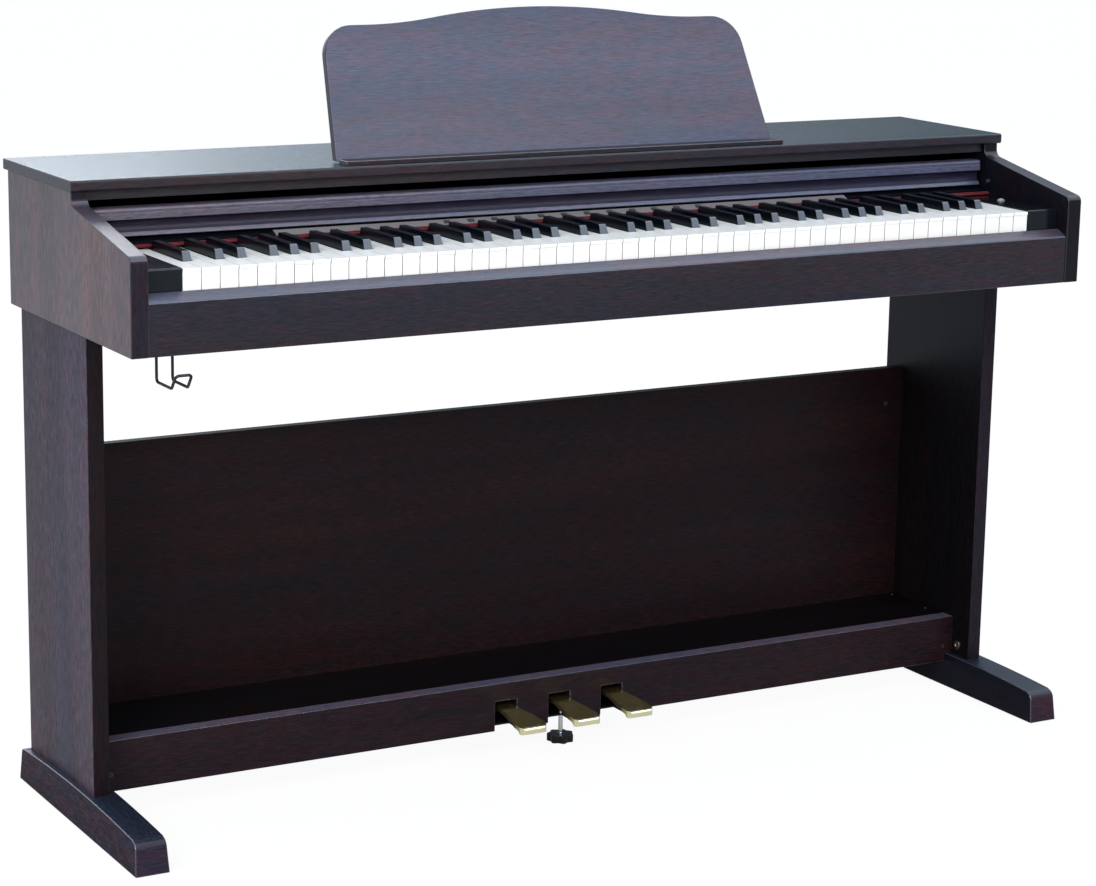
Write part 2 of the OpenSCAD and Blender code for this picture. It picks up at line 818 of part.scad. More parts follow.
function crown_h(x) = let (m = 2 * (desk_peak_h - desk_side_h) / desk_crown)
    x < desk_bulge ? desk_peak_h - m * x * x / (2 * desk_bulge)
    : desk_side_h + m * pow(desk_crown - x, 2) / (2 * (desk_crown - desk_bulge));

desk_taper = (desk_w - desk_top_w) / 2 / (desk_side_h - desk_corner_r);

function desk_half_outline() = concat(
    [[desk_w / 2 + desk_taper * desk_t / 2, -desk_t / 2]],
    arc([desk_top_w / 2 - desk_corner_r, desk_side_h - desk_corner_r], desk_corner_r, 4, 90, 10),
    [for (i = [0 : 20]) let (x = desk_crown * (1 - i / 20)) [x, crown_h(x)]]);

module music_desk() {
    right = desk_half_outline();
    left = [for (i = [len(right) - 2 : -1 : 0]) [-right[i][0], right[i][1]]];
    color("#4d4652") difference() {
        on_desk() translate([0, -desk_toe, hinge_back]) linear_extrude(desk_t) polygon(concat(right, left));
        // the foot is cut level, so that it clears the top board
        block([-desk_w, desk_w], [hinge_y - 3 * desk_face, hinge_y + desk_face],
            [top_z - desk_face, top_z + desk_gap]);
    }
}

module music_ledge() {
    color("#40373f") block([-desk_w / 2, desk_w / 2], [ledge_y, ledge_y + ledge_d], [top_z, top_z + ledge_h]);
}

module desk_hinges() {
    leaf_t = 1.2;
    leaf_d = 22;
    mid_w = hinge_w / 3;
    color("#b4b6b8") for (x = [-hinge_x, hinge_x]) translate([x, 0, 0]) {
        difference() {
            block([-hinge_w / 2, hinge_w / 2], [hinge_y - knuckle_r, hinge_y + leaf_d], [top_z, top_z + leaf_t]);
            block([-mid_w / 2 - seat_gap, mid_w / 2 + seat_gap],
                [hinge_y - knuckle_r - 1, hinge_y + knuckle_r + seat_gap], [top_z - 1, top_z + leaf_t + 1]);
        }
        for (s = [-1, 1]) {
            x0 = s > 0 ? mid_w / 2 + seat_gap : -hinge_w / 2;
            rod_x(x0, x0 + mid_w - seat_gap, hinge_y, axis_z, knuckle_r);
            block([x0, x0 + mid_w - seat_gap], [hinge_y - knuckle_r, hinge_y + knuckle_r],
                [top_z + leaf_t, axis_z]);
        }
        rod_x(-hinge_w / 2, hinge_w / 2, hinge_y, axis_z, hinge_pin_d / 2);
    }
}

module desk_hinge_leaves() {
    leaf_t = 1.5;
    leaf_d = 26;
    mid_w = hinge_w / 3;
    start = knuckle_r + 0.6;
    color("#b4b6b8") for (x = [-hinge_x, hinge_x]) translate([x, 0, 0]) {
        on_desk() translate([-hinge_w / 2, start, hinge_back - leaf_t]) cube([hinge_w, leaf_d, leaf_t]);
        difference() {
            union() {
                rod_x(-mid_w / 2, mid_w / 2, hinge_y, axis_z, knuckle_r);
                on_desk() translate([-mid_w / 2, 0, hinge_back - leaf_t]) cube([mid_w, start, leaf_t]);
            }
            rod_x(-mid_w, mid_w, hinge_y, axis_z, hinge_pin_d / 2 + rod_play);
        }
    }
    // clips on the desk's back, in which the wire prop turns
    color("#b4b6b8") both_sides() on_desk() difference() {
        translate([prop_w / 2 - clip_w / 2, prop_l - clip_w / 2, -clip_r])
            cube([clip_w, clip_w, hinge_back + clip_r]);
        translate([prop_w / 2 - clip_w, prop_l, 0]) rotate([0, 90, 0])
            cylinder(r = prop_d / 2 + rod_play, h = 2 * clip_w);
    }
}

// Wire prop: two arms from the clips down to a padded foot bar that slides on the top board
module desk_prop() {
    arm_x = prop_w / 2 + clip_w / 2 + prop_d / 2 + 1;
    foot = [0, 2 * prop_l * sin(desk_lean), 0];
    knee = [0, prop_l * sin(desk_lean), prop_l * cos(desk_lean)];
    pad_l = 24;
    color("#9a9c9f") translate([0, front + hinge_y, axis_z]) {
        bent_wire([
            knee + [-prop_w / 2 + clip_w / 2 + 1, 0, 0], knee + [-arm_x, 0, 0], foot + [-arm_x, 0, 0],
            foot + [arm_x, 0, 0], knee + [arm_x, 0, 0], knee + [prop_w / 2 - clip_w / 2 - 1, 0, 0]],
            prop_d / 2);
        for (s = [-1, 1]) translate(foot + [s * arm_x / 2 - pad_l / 2, 0, 0]) rotate([0, 90, 0])
            cylinder(r = prop_pad_r, h = pad_l);
    }
}

// ---- electronics and sound -----------------------------------------------

module main_board() {
    standoff = 8;
    z = bed_z + standoff + pcb_t;
    x0 = pcb_x - pcb_w / 2;
    y0 = back_y - rear_room - pcb_d;
    inset = 9;
    color("#1f5a3a") {
        block([x0, x0 + pcb_w], [y0, y0 + pcb_d], [bed_z + standoff, z]);
        for (x = [x0 + inset, x0 + pcb_w - inset], y = [y0 + inset, y0 + pcb_d - inset])
            post(x, y, bed_z, bed_z + standoff, 3);
        // a square chip, a heat sink and a row of capacitors
        block([x0 + 0.24 * pcb_w, x0 + 0.36 * pcb_w], [y0 + 0.3 * pcb_d, y0 + 0.75 * pcb_d], [z, z + 2.5]);
        block([x0 + 0.56 * pcb_w, x0 + 0.68 * pcb_w], [y0 + 0.2 * pcb_d, y0 + 0.6 * pcb_d], [z, z + 14]);
        for (i = [0 : 3]) post(x0 + (0.76 + 0.055 * i) * pcb_w, y0 + pcb_d / 2, z, z + 18, 6);
    }
}

module power_supply() {
    color("#8f9294") block([supply_x - supply_w / 2, supply_x + supply_w / 2],
        [back_y - rear_room - supply_d, back_y - rear_room], [bed_z, bed_z + supply_h]);
}

module speakers() {
    rim_t = 4;
    magnet_d = speaker_d * 0.6;
    color("#202224") both_sides() {
        difference() {
            union() {
                post(speaker_x, speaker_y, bed_z, bed_z + rim_t, speaker_d / 2);
                translate([speaker_x, front + speaker_y, bed_z + rim_t])
                    cylinder(r1 = speaker_d / 2 - 6, r2 = magnet_d / 2, h = speaker_h - rim_t - 16);
            }
            translate([speaker_x, front + speaker_y, bed_z - 0.01])
                cylinder(r1 = speaker_hole_d / 2 - 4, r2 = 14, h = speaker_h - rim_t - 16);
        }
        post(speaker_x, speaker_y, bed_z + speaker_h - 16, bed_z + speaker_h, magnet_d / 2);
    }
}

module speaker_grilles() {
    rim = 8;
    holes = 5;
    pitch = 15;
    color("#1b1c1e") both_sides() difference() {
        post(speaker_x, speaker_y, case_z - grille_t, case_z, speaker_hole_d / 2 + rim);
        for (i = [-holes : holes], j = [-holes : holes])
            if (norm([i, j]) * pitch < speaker_hole_d / 2 - 6)
                translate([speaker_x + i * pitch - 4.5, front + speaker_y + j * pitch - 4.5, case_z - grille_t - 1])
                    cube([9, 9, grille_t + 2]);
    }
}

module socket_plate() {
    plate_z = (case_z + side_top_z) / 2;
    body_r = 7;
    color("#1b1d20") difference() {
        union() {
            block([plate_x - plate_w / 2, plate_x + plate_w / 2], [side_d, side_d + plate_t],
                [plate_z - plate_h / 2, plate_z + plate_h / 2]);
            for (i = [0 : 2]) translate([plate_x - 50 + i * 28, front + side_d, plate_z]) rotate([90, 0, 0])
                cylinder(r = body_r, h = jack_l - plate_t + 2);
            block([plate_x + 28, plate_x + 60], [side_d - 18, side_d], [plate_z - 12, plate_z + 12]);
        }
        for (i = [0 : 2]) translate([plate_x - 50 + i * 28, front + side_d + plate_t + 1, plate_z])
            rotate([90, 0, 0]) cylinder(r = jack_r, h = jack_l + 1);
        block([plate_x + 32, plate_x + 56], [side_d - 15, side_d + plate_t + 1], [plate_z - 8, plate_z + 8]);
    }
}

// ---- stand ---------------------------------------------------------------

module leg_blank() {
    block([leg_x, leg_x + leg_t], [leg_y, leg_y + leg_d], [foot_h - foot_groove, case_z]);
}

module right_leg() { color("#433d45") leg_blank(); }
module left_leg() { color("#433d45") mirror([1, 0, 0]) leg_blank(); }

module foot_blank() {
    half = foot_l / 2;
    nose = foot_nose_r + foot_rake;  // the front rounding ends this far back
    heel_r = 4;
    arch_r = (half * half + foot_arch * foot_arch) / (2 * foot_arch);
    arch_a = asin((half - nose) / arch_r);
    end_z = foot_h - foot_arch;
    past = 5;                        // the leaning sides are drawn past the top and the floor
    function lean(z) = foot_lean * z / foot_h;
    difference() {
        intersection() {
            along_x(foot_x - 1, foot_x + foot_w + 1)
                polygon(concat(
                    [[0, 0]],
                    arc([nose, end_z - foot_nose_r], foot_nose_r, 180, 100, 6),
                    arc([half, foot_h - arch_r], arch_r, 90 + arch_a, 90 - arch_a, 16),
                    arc([foot_l - foot_rake - heel_r, end_z - heel_r], heel_r, 80, 0, 4),
                    [[foot_l, 0]]));
            along_y(-past, foot_l + past)
                polygon([for (p = [[0, -past], [1, -past], [1, foot_h + past], [0, foot_h + past]])
                    [foot_x + foot_w * p[0] + (1 - 2 * p[0]) * lean(p[1]), p[1]]]);
        }
        block([leg_x, leg_x + leg_t], [leg_y, leg_y + leg_d], [foot_h - foot_groove, foot_h + 1]);
    }
}

module right_foot() { color("#4a4147") foot_blank(); }
module left_foot() { color("#4a4147") mirror([1, 0, 0]) foot_blank(); }

module rear_panel() {
    color("#2e2021") block([-leg_x, leg_x], [rear_y, rear_y + rear_t], [shelf_z, rear_top_z]);
}

module pedal_rail() {
    color("#33282a") difference() {
        block([-leg_x, leg_x], [rail_y, rail_back_y], [rail_low_z, rail_top_z]);
        for (i = [-1 : 1])
            block([i * pedal_pitch - slot_w / 2, i * pedal_pitch + slot_w / 2], [rail_y - 1, rail_back_y + 1],
                [rail_low_z - 1, rail_low_z + slot_h]);
        // notches for the feet, which reach further in than the legs
        both_sides() block([foot_x - seat_gap, leg_x + 1], [rail_y - 1, rail_back_y + 1],
            [rail_low_z - 1, foot_h + seat_gap]);
    }
}

module pedal_shelf() {
    color("#141213") block([-leg_x, leg_x], [rail_back_y, rear_y], [shelf_z, rail_top_z]);
}

module stand_screws() {
    color("#a9abad") {
        both_sides() {
            // screws through the rear panel and the rail into their corner blocks
            for (p = [[leg_x - 29, rear_y, rear_top_z - 53], [leg_x - 16, rail_y, rail_low_z + 22]])
                translate([p[0], front + p[1], p[2]]) rotate([90, 0, 0])
                    cylinder(r = screw_head_d / 2, h = screw_head_h);
            // bolt through the leg, with its head on the inner face in front of the rail
            translate([leg_x - 2.2, front + rail_y - 13, rail_low_z + 26]) rotate([0, 90, 0])
                cylinder(r = bolt_head_d / 2, h = 2.2);
            // screws through the shelf into the corner blocks
            post(leg_x - 10, rear_y - 92, rail_top_z, rail_top_z + screw_head_h, screw_head_d / 2);
            post(leg_x - 10, rear_y - 10, rail_top_z, rail_top_z + screw_head_h, screw_head_d / 2);
        }
    }
}

// ---- pedals --------------------------------------------------------------

module pedal_box() {
    color("#17181a") difference() {
        block([-box_half, box_half], [rail_back_y, box_back_y], [rail_low_z, box_top_z]);
        block([-box_half + box_t, box_half - box_t], [rail_back_y - 1, box_back_y - box_t],
            [rail_low_z + box_t, box_top_z - box_t]);
        rod_x(-box_half - 1, box_half + 1, pedal_axis_y, pedal_axis_z, pedal_rod_d / 2);
        post(adjuster_x, adjuster_y, rail_low_z - 1, rail_low_z + box_t + 1, adjuster_d / 2 + rod_play);
    }
}

module pedal_rod() {
    color("#b8babd") rod_x(-box_half, box_half, pedal_axis_y, pedal_axis_z, pedal_rod_d / 2);
}

// Outline from above: a straight lever that widens to a blunt tip with round corners
module pedal_plan() {
    half = pedal_tip_w / 2;
    tip_y = rail_y - pedal_out;
    corner = [half - pedal_corner_r, tip_y + pedal_corner_r];
    polygon(concat(
        [[pedal_w / 2, pedal_axis_y + pedal_tail], [pedal_w / 2, rail_y - 8],
         [half, tip_y + pedal_corner_r + 12]],
        arc(corner, pedal_corner_r, 0, -80, 6),
        arc([-corner[0], corner[1]], pedal_corner_r, -100, -180, 6),
        [[-half, tip_y + pedal_corner_r + 12], [-pedal_w / 2, rail_y - 8],
         [-pedal_w / 2, pedal_axis_y + pedal_tail]]));
}

function pedal_top(y) = pedal_z - pedal_fall * pow(max(0, rail_y - y) / pedal_out, 1.5);

module pedal(x) {
    steps = 10;
    nose_r = 4;                      // rounding at the top of the nose
    nose_t = 7;                      // how thick the nose is, front to back
    tip_y = rail_y - pedal_out;
    flat_l = pedal_out - nose_r;     // the lever's top runs this far before the nose rounds over
    top = [for (i = [0 : steps]) let (y = rail_y - flat_l * i / steps) [y, pedal_top(y)]];
    nose_z = pedal_top(tip_y + nose_r);
    back_y = tip_y + nose_t;
    under = [for (i = [steps : -1 : 0]) let (y = rail_y - (pedal_out - nose_t - 3) * i / steps)
        [y, pedal_top(y) - pedal_t]];
    color("#c9a64a") translate([x, 0, 0]) difference() {
        intersection() {
            translate([0, front, 0]) linear_extrude(pedal_z + pedal_hub) pedal_plan();
            along_x(-pedal_tip_w, pedal_tip_w) polygon(concat(
                [[pedal_axis_y + pedal_tail, pedal_z]], top,
                arc([tip_y + nose_r, nose_z - nose_r], nose_r, 80, 180, 5),
                [[tip_y + 0.6, nose_z - pedal_nose_h + 1], [tip_y + 1.6, nose_z - pedal_nose_h],
                 [back_y - 1.5, nose_z - pedal_nose_h]], under,
                [[pedal_axis_y - pedal_hub, pedal_z - pedal_t],
                 [pedal_axis_y - pedal_hub / 2, pedal_axis_z - pedal_hub / 2],
                 [pedal_axis_y + pedal_hub / 2, pedal_axis_z - pedal_hub / 2],
                 [pedal_axis_y + pedal_hub, pedal_z - pedal_t],
                 [pedal_axis_y + pedal_tail, pedal_z - pedal_t]]));
            }
        rod_x(-pedal_w, pedal_w, pedal_axis_y, pedal_axis_z, pedal_rod_d / 2 + rod_play);
    }
}

module left_pedal() { pedal(-pedal_pitch); }
module middle_pedal() { pedal(0); }
module right_pedal() { pedal(pedal_pitch); }

// A spring under each pedal, between the box's floor and the lever: stacked turns around a guide
module pedal_spring(x) {
    wire_r = 0.9;
    turns = 7;
    floor_z = rail_low_z + box_t;
    top = pedal_z - pedal_t - seat_gap;
    step = (top - floor_z - 2 * wire_r) / (turns - 1);
    color("#c0c2c4") translate([x, front + pedal_axis_y - spring_back, floor_z]) {
        for (k = [0 : turns - 1]) translate([0, 0, wire_r + k * step]) rotate_extrude($fn = 24)
            translate([spring_r - wire_r, 0]) circle(r = wire_r, $fn = 16);
        for (s = [-1, 1]) translate([s * (spring_r - wire_r) - 0.5, -0.5, wire_r])
            cube([1, 1, top - floor_z - 2 * wire_r]);
    }
}

module left_pedal_spring() { pedal_spring(-pedal_pitch); }
module middle_pedal_spring() { pedal_spring(0); }
module right_pedal_spring() { pedal_spring(pedal_pitch); }

module pedal_adjuster() {
    floor_gap = 0.4;
    wave = knob_d * 0.045;           // half the depth of the finger hollows
    steps = 12 * knob_lobes;
    color("#16171a") translate([adjuster_x, front + adjuster_y, floor_gap])
        linear_extrude(knob_h - floor_gap)
            polygon([for (i = [0 : steps - 1]) let (a = 360 * i / steps)
                (knob_d / 2 - wave + wave * cos(knob_lobes * a)) * [cos(a), sin(a)]]);
    color("#c4c6c8") post(adjuster_x, adjuster_y, knob_h / 2, rail_low_z + box_t + 4, adjuster_d / 2);
}

// ---- headphone hook ------------------------------------------------------

// A quarter or less of a ring, in the plane across the keyboard, from one direction angle on
module bend_yz(y, z, from, turn) {
    translate([0, y, z]) rotate([90, 0, 90]) rotate([0, 0, from])
        rotate_extrude(angle = turn) translate([hook_bend, 0]) circle(r = hook_d / 2);
}

module headphone_hook() {
    plate_t = 2;
    plate_d = 14;
    sunk = 1;                        // the wires' hold in the plate
    y0 = front + hook_y;
    low_z = case_z - hook_drop;
    r = hook_d / 2;
    rise = atan(hook_tip_h / hook_tip_out);
    cut = hook_bend * tan(rise / 2);
    tip_l = norm([hook_tip_out, hook_tip_h]) - cut - hook_bend;
    bend_y = y0 - hook_reach + cut;
    color("#141517") translate([-hook_x, 0, 0]) {
        both_sides() translate([hook_w / 2, 0, 0]) {
            translate([0, y0, low_z + hook_bend]) cylinder(r = r, h = hook_drop - hook_bend - plate_t + sunk);
            bend_yz(y0 - hook_bend, low_z + hook_bend, -90, 90);
            translate([0, y0 - hook_bend, low_z]) rotate([90, 0, 0])
                cylinder(r = r, h = hook_reach - hook_bend - cut);
            bend_yz(bend_y, low_z + hook_bend, -90 - rise, rise);
            translate([0, bend_y - hook_bend * sin(rise), low_z + hook_bend * (1 - cos(rise))])
                rotate([90 - rise, 0, 0]) {
                    cylinder(r = r, h = tip_l);
                    translate([-hook_bend, 0, tip_l]) rotate([90, 0, 0])
                        rotate_extrude(angle = 90) translate([hook_bend, 0]) circle(r = r);
                }
        }
        translate([0, bend_y - hook_bend * sin(rise), low_z + hook_bend * (1 - cos(rise))])
            rotate([90 - rise, 0, 0]) translate([hook_bend - hook_w / 2, 0, tip_l + hook_bend])
                rotate([0, 90, 0]) cylinder(r = r, h = hook_w - 2 * hook_bend);
        translate([-hook_w / 2 - 9, y0 - plate_d / 2, case_z - plate_t])
            cube([hook_w + 18, plate_d, plate_t]);
    }
}

// ---- nodes ---------------------------------------------------------------

left_side_panel();
right_side_panel();
top_board();
upper_front_rail();
back_board();
key_bed();
key_slip();
left_cheek_block();
right_cheek_block();
control_panel();
panel_overlay();
panel_buttons();
power_button();
felt_strip();
key_frame();
key_pivot_rod();
white_keys_a();
white_keys_b();
white_keys_c();
white_keys_d();
white_keys_e();
white_keys_f();
white_keys_g();
black_keys_a_sharp();
black_keys_c_sharp();
black_keys_d_sharp();
black_keys_f_sharp();
black_keys_g_sharp();
cover_moulding();
cover_board();
cover_runners();
cover_tracks();
music_desk();
music_ledge();
desk_hinges();
desk_hinge_leaves();
desk_prop();
main_board();
power_supply();
speakers();
speaker_grilles();
socket_plate();
left_leg();
right_leg();
left_foot();
right_foot();
rear_panel();
pedal_rail();
pedal_shelf();
pedal_box();
pedal_rod();
left_pedal();
middle_pedal();
right_pedal();
left_pedal_spring();
middle_pedal_spring();
right_pedal_spring();
pedal_adjuster();
headphone_hook();
stand_screws();
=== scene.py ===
import math

import bmesh
import bpy
import numpy as np
from mathutils import Matrix, Vector


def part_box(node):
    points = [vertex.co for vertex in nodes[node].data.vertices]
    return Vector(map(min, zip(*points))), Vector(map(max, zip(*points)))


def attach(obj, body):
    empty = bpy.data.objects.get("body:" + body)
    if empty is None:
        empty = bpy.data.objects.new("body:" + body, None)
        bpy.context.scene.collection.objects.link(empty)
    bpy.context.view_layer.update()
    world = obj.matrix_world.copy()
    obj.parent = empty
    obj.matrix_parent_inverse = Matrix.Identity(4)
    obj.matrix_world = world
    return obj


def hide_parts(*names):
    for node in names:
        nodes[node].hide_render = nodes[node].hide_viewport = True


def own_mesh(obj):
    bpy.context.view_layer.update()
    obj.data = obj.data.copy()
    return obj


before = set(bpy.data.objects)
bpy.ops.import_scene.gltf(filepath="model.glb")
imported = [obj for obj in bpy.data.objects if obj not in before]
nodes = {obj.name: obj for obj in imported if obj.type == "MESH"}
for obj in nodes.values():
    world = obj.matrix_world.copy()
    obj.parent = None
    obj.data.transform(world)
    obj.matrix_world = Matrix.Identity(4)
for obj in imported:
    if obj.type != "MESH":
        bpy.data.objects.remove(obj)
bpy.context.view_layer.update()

# ---- The viewpoint -------------------------------------------------------
# A long lens stands at the front left, a little above the top board, and looks down at the piano's middle.
# Its axes come from its turn away from straight back, its dip below level, and its roll.
# Film and lens are measured in millimetres.
view_place = (-1.8825, -3.2910, 1.2543)
view_turn, view_dip, view_roll = (math.radians(a) for a in (29.52, -12.419, 0.959))
film_width, lens_length = 36, 96.39
farthest_seen = 200

forward = Vector((math.sin(view_turn) * math.cos(view_dip), math.cos(view_turn) * math.cos(view_dip),
                  math.sin(view_dip)))
level_right = Vector((math.cos(view_turn), -math.sin(view_turn), 0))
level_up = level_right.cross(forward)
right = level_right * math.cos(view_roll) + level_up * math.sin(view_roll)
up = level_up * math.cos(view_roll) - level_right * math.sin(view_roll)
lens = bpy.data.cameras.new("lens")
lens.sensor_width = film_width
lens.lens = lens_length
lens.clip_end = farthest_seen
eye = bpy.data.objects.new("eye", lens)
eye.matrix_world = Matrix.Translation(view_place) @ Matrix((right, up, -forward)).transposed().to_4x4()
bpy.context.scene.collection.objects.link(eye)
bpy.context.scene.camera = eye
bpy.context.scene.view_settings.view_transform = "Standard"

# ---- The studio ----------------------------------------------------------
# A white floor lies under a pale sky, bright above and at the back left, dim in front.
# Soft lamps stand at the front left, at the front right and behind.
# Floor and sky show white to the eye, whatever light they give.
sky_colour = (0.76, 0.89, 1.04)
sky_base, overhead_in_gloss = 0.16, 2.4
overhead = {"towards": (-0.12, -0.1, 1.0), "between": (0.12, 0.75), "strength": 1.1}
back_left = {"towards": (-0.35, 0.94, 0.0), "between": (0.46, 0.92), "strength": 1.55}
floor_half, floor_drop = 30.0, 0.0005
floor_colour, floor_glow = (0.55, 0.55, 0.56), 1.06
glow_for_eye, glow_for_gloss = 0.88, 0.12


def feed(tree, socket, given):
    """One input of a node: joined to another node's output, or set to a plain number or colour."""
    if isinstance(given, bpy.types.NodeSocket):
        tree.links.new(given, socket)
    elif isinstance(given, tuple):
        socket.default_value = (*given, 1)
    else:
        socket.default_value = given


def reckoned(tree, how, *terms):
    """The sum, product or greatest of its terms, or the first two multiplied and the third added."""
    step = tree.nodes.new("ShaderNodeMath")
    step.operation = how
    for socket, term in zip(step.inputs, terms):
        feed(tree, socket, term)
    return step.outputs[0]


def ranged(tree, value, start=(0.0, 1.0), to=(0.0, 1.0), smooth=False):
    """A value carried from one range onto another and held at both ends, evenly or easing in and out."""
    step = tree.nodes.new("ShaderNodeMapRange")
    step.interpolation_type = "SMOOTHSTEP" if smooth else "LINEAR"
    step.inputs["From Min"].default_value, step.inputs["From Max"].default_value = start
    step.inputs["To Min"].default_value, step.inputs["To Max"].default_value = to
    tree.links.new(value, step.inputs["Value"])
    return step.outputs[0]


def shared(tree, share, first, second):
    """Two surfaces in one: a share of the second, and the rest of the first."""
    both = tree.nodes.new("ShaderNodeMixShader")
    for socket, given in zip(both.inputs, (share, first, second)):
        tree.links.new(given, socket)
    return both.outputs[0]


def sky_part(tree, facing, towards, between, strength):
    """One smooth bright region of the sky. A direction's length along the region's own direction says how
    bright it is there: nothing at the first of two lengths, and its whole strength from the second on."""
    along = tree.nodes.new("ShaderNodeVectorMath")
    along.operation = "DOT_PRODUCT"
    along.inputs[1].default_value = towards
    tree.links.new(facing, along.inputs[0])
    return ranged(tree, along.outputs["Value"], between, (0.0, strength), smooth=True)


def pale_sky():
    """White as seen. As a light and in reflections it is a base plus the stronger of its two regions, and the
    one above is raised in reflections."""
    world = bpy.data.worlds.new("surround")
    bpy.context.scene.world = world
    world.use_nodes = True
    tree = world.node_tree
    tree.nodes.clear()
    path = tree.nodes.new("ShaderNodeLightPath")
    facing = tree.nodes.new("ShaderNodeTexCoord").outputs["Generated"]
    raised = ranged(tree, path.outputs["Is Glossy Ray"], to=(1.0, overhead_in_gloss))
    above = reckoned(tree, "MULTIPLY", sky_part(tree, facing, **overhead), raised)
    strongest = reckoned(tree, "MAXIMUM", above, sky_part(tree, facing, **back_left))
    given_light = tree.nodes.new("ShaderNodeBackground")
    feed(tree, given_light.inputs["Color"], sky_colour)
    feed(tree, given_light.inputs["Strength"], reckoned(tree, "ADD", strongest, sky_base))
    seen = tree.nodes.new("ShaderNodeBackground")
    feed(tree, seen.inputs["Color"], (1, 1, 1))
    out = tree.nodes.new("ShaderNodeOutputWorld")
    tree.links.new(shared(tree, path.outputs["Is Camera Ray"], given_light.outputs[0], seen.outputs[0]),
                   out.inputs["Surface"])


def soft_lamp(name, place, target, size, watts, tint):
    """A flat soft lamp that faces its target."""
    lamp = bpy.data.lights.new(name, "AREA")
    lamp.shape = "RECTANGLE"
    lamp.size, lamp.size_y = size
    lamp.energy = watts
    lamp.color = tint
    stand = bpy.data.objects.new(name, lamp)
    stand.location = place
    stand.rotation_euler = (Vector(target) - Vector(place)).to_track_quat("-Z", "Y").to_euler()
    bpy.context.scene.collection.objects.link(stand)


def studio_paper():
    """Matt paper with a glow mixed in: one share of it as seen, another in reflections, and none as light."""
    paper = bpy.data.materials.new("studio_paper")
    paper.use_nodes = True
    tree = paper.node_tree
    tree.nodes.clear()
    path = tree.nodes.new("ShaderNodeLightPath")
    matt = tree.nodes.new("ShaderNodeBsdfDiffuse")
    feed(tree, matt.inputs["Color"], floor_colour)
    glow = tree.nodes.new("ShaderNodeEmission")
    feed(tree, glow.inputs["Strength"], floor_glow)
    as_seen = reckoned(tree, "MULTIPLY", path.outputs["Is Camera Ray"], glow_for_eye)
    share = reckoned(tree, "MULTIPLY_ADD", path.outputs["Is Glossy Ray"], glow_for_gloss, as_seen)
    out = tree.nodes.new("ShaderNodeOutputMaterial")
    tree.links.new(shared(tree, share, matt.outputs[0], glow.outputs[0]), out.inputs["Surface"])
    return paper


pale_sky()
soft_lamp("window_left", place=(-3.4, -2.6, 2.4), target=(0, 0, 0.6), size=(2.2, 1.8), watts=150,
          tint=(1.0, 0.97, 0.94))
soft_lamp("window_back", place=(0.3, 4.6, 3.2), target=(0, 0.2, 0.6), size=(2.2, 1.6), watts=90,
          tint=(0.97, 0.98, 1.0))
soft_lamp("window_front", place=(1.2, -4.2, 2.6), target=(0, 0, 0.5), size=(2.0, 1.4), watts=60,
          tint=(1.0, 0.98, 0.96))

floor_mesh = bpy.data.meshes.new("floor")
floor_corners = [(floor_half * x, floor_half * y, -floor_drop)
                 for x, y in ((-1, -1), (1, -1), (1, 1), (-1, 1))]
floor_mesh.from_pydata(floor_corners, [], [(0, 1, 2, 3)])
floor_mesh.materials.append(studio_paper())
floor = bpy.data.objects.new("floor", floor_mesh)
bpy.context.scene.collection.objects.link(floor)

# ---- Side panels ---------------------------------------------------------
# The cabinet's ends are chipboard wrapped in printed rosewood film, with upright grain and all edges eased.
# The film is red-brown outside. Painted shade darkens it on the narrow edges, more on the right panel,
# and most on the inner faces. A painted sheen makes the left slope pale and cool, painted shade darkens
# the right slope, and the rounds take a paler copy as a painted highlight.
rightwards, backwards, upwards = (1, 0, 0), (0, 1, 0), (0, 0, 1)
forwards = (0, -1, 0)
# A face is square on to a direction when its own goes at least this far along it.
square_on = 0.9
# Each layer of the print, in waves per metre along the grain and across it.
print_waves = {"bands": (1.3, 17), "streaks": (55, 650), "flecks": (60, 380), "drift": (0.7, 10),
               "mottle": (22, 75), "pores": (60, 950)}
fine_layers = ("streaks", "flecks", "pores")
streak_share, red_brown = 0.76, (1.9, 0.9, 0.85)
grain_depth = 0.0004


def finish_base(name, colour, roughness, metallic=0.0, sheen=0.5):
    """A plain surface of one colour, with its tree, its shader and its own coordinates to build on."""
    finish = bpy.data.materials.new(name)
    finish.use_nodes = True
    tree = finish.node_tree
    shader = tree.nodes["Principled BSDF"]
    feed(tree, shader.inputs["Base Color"], colour)
    feed(tree, shader.inputs["Roughness"], roughness)
    feed(tree, shader.inputs["Metallic"], metallic)
    feed(tree, shader.inputs["Specular IOR Level"], sheen)
    place = tree.nodes.new("ShaderNodeTexCoord")
    return finish, tree, shader, place.outputs["Object"]


def speckle(tree, place, waves, detail=3.0, rough=0.5):
    """Noise with its own number of waves per metre along X, Y and Z."""
    stretch = tree.nodes.new("ShaderNodeMapping")
    stretch.inputs["Scale"].default_value = waves
    noise = tree.nodes.new("ShaderNodeTexNoise")
    noise.inputs["Scale"].default_value = 1.0
    noise.inputs["Detail"].default_value = detail
    noise.inputs["Roughness"].default_value = rough
    tree.links.new(place, stretch.inputs["Vector"])
    tree.links.new(stretch.outputs[0], noise.inputs["Vector"])
    return noise.outputs["Fac"]


def graded(tree, value, stops):
    """A value turned into colour by a ramp of positions and their colours."""
    ramp = tree.nodes.new("ShaderNodeValToRGB")
    while len(ramp.color_ramp.elements) < len(stops):
        ramp.color_ramp.elements.new(0.5)
    for stop, (at, colour) in zip(ramp.color_ramp.elements, stops):
        stop.position = at
        stop.color = (*colour, 1)
    tree.links.new(value, ramp.inputs["Fac"])
    return ramp.outputs["Color"]


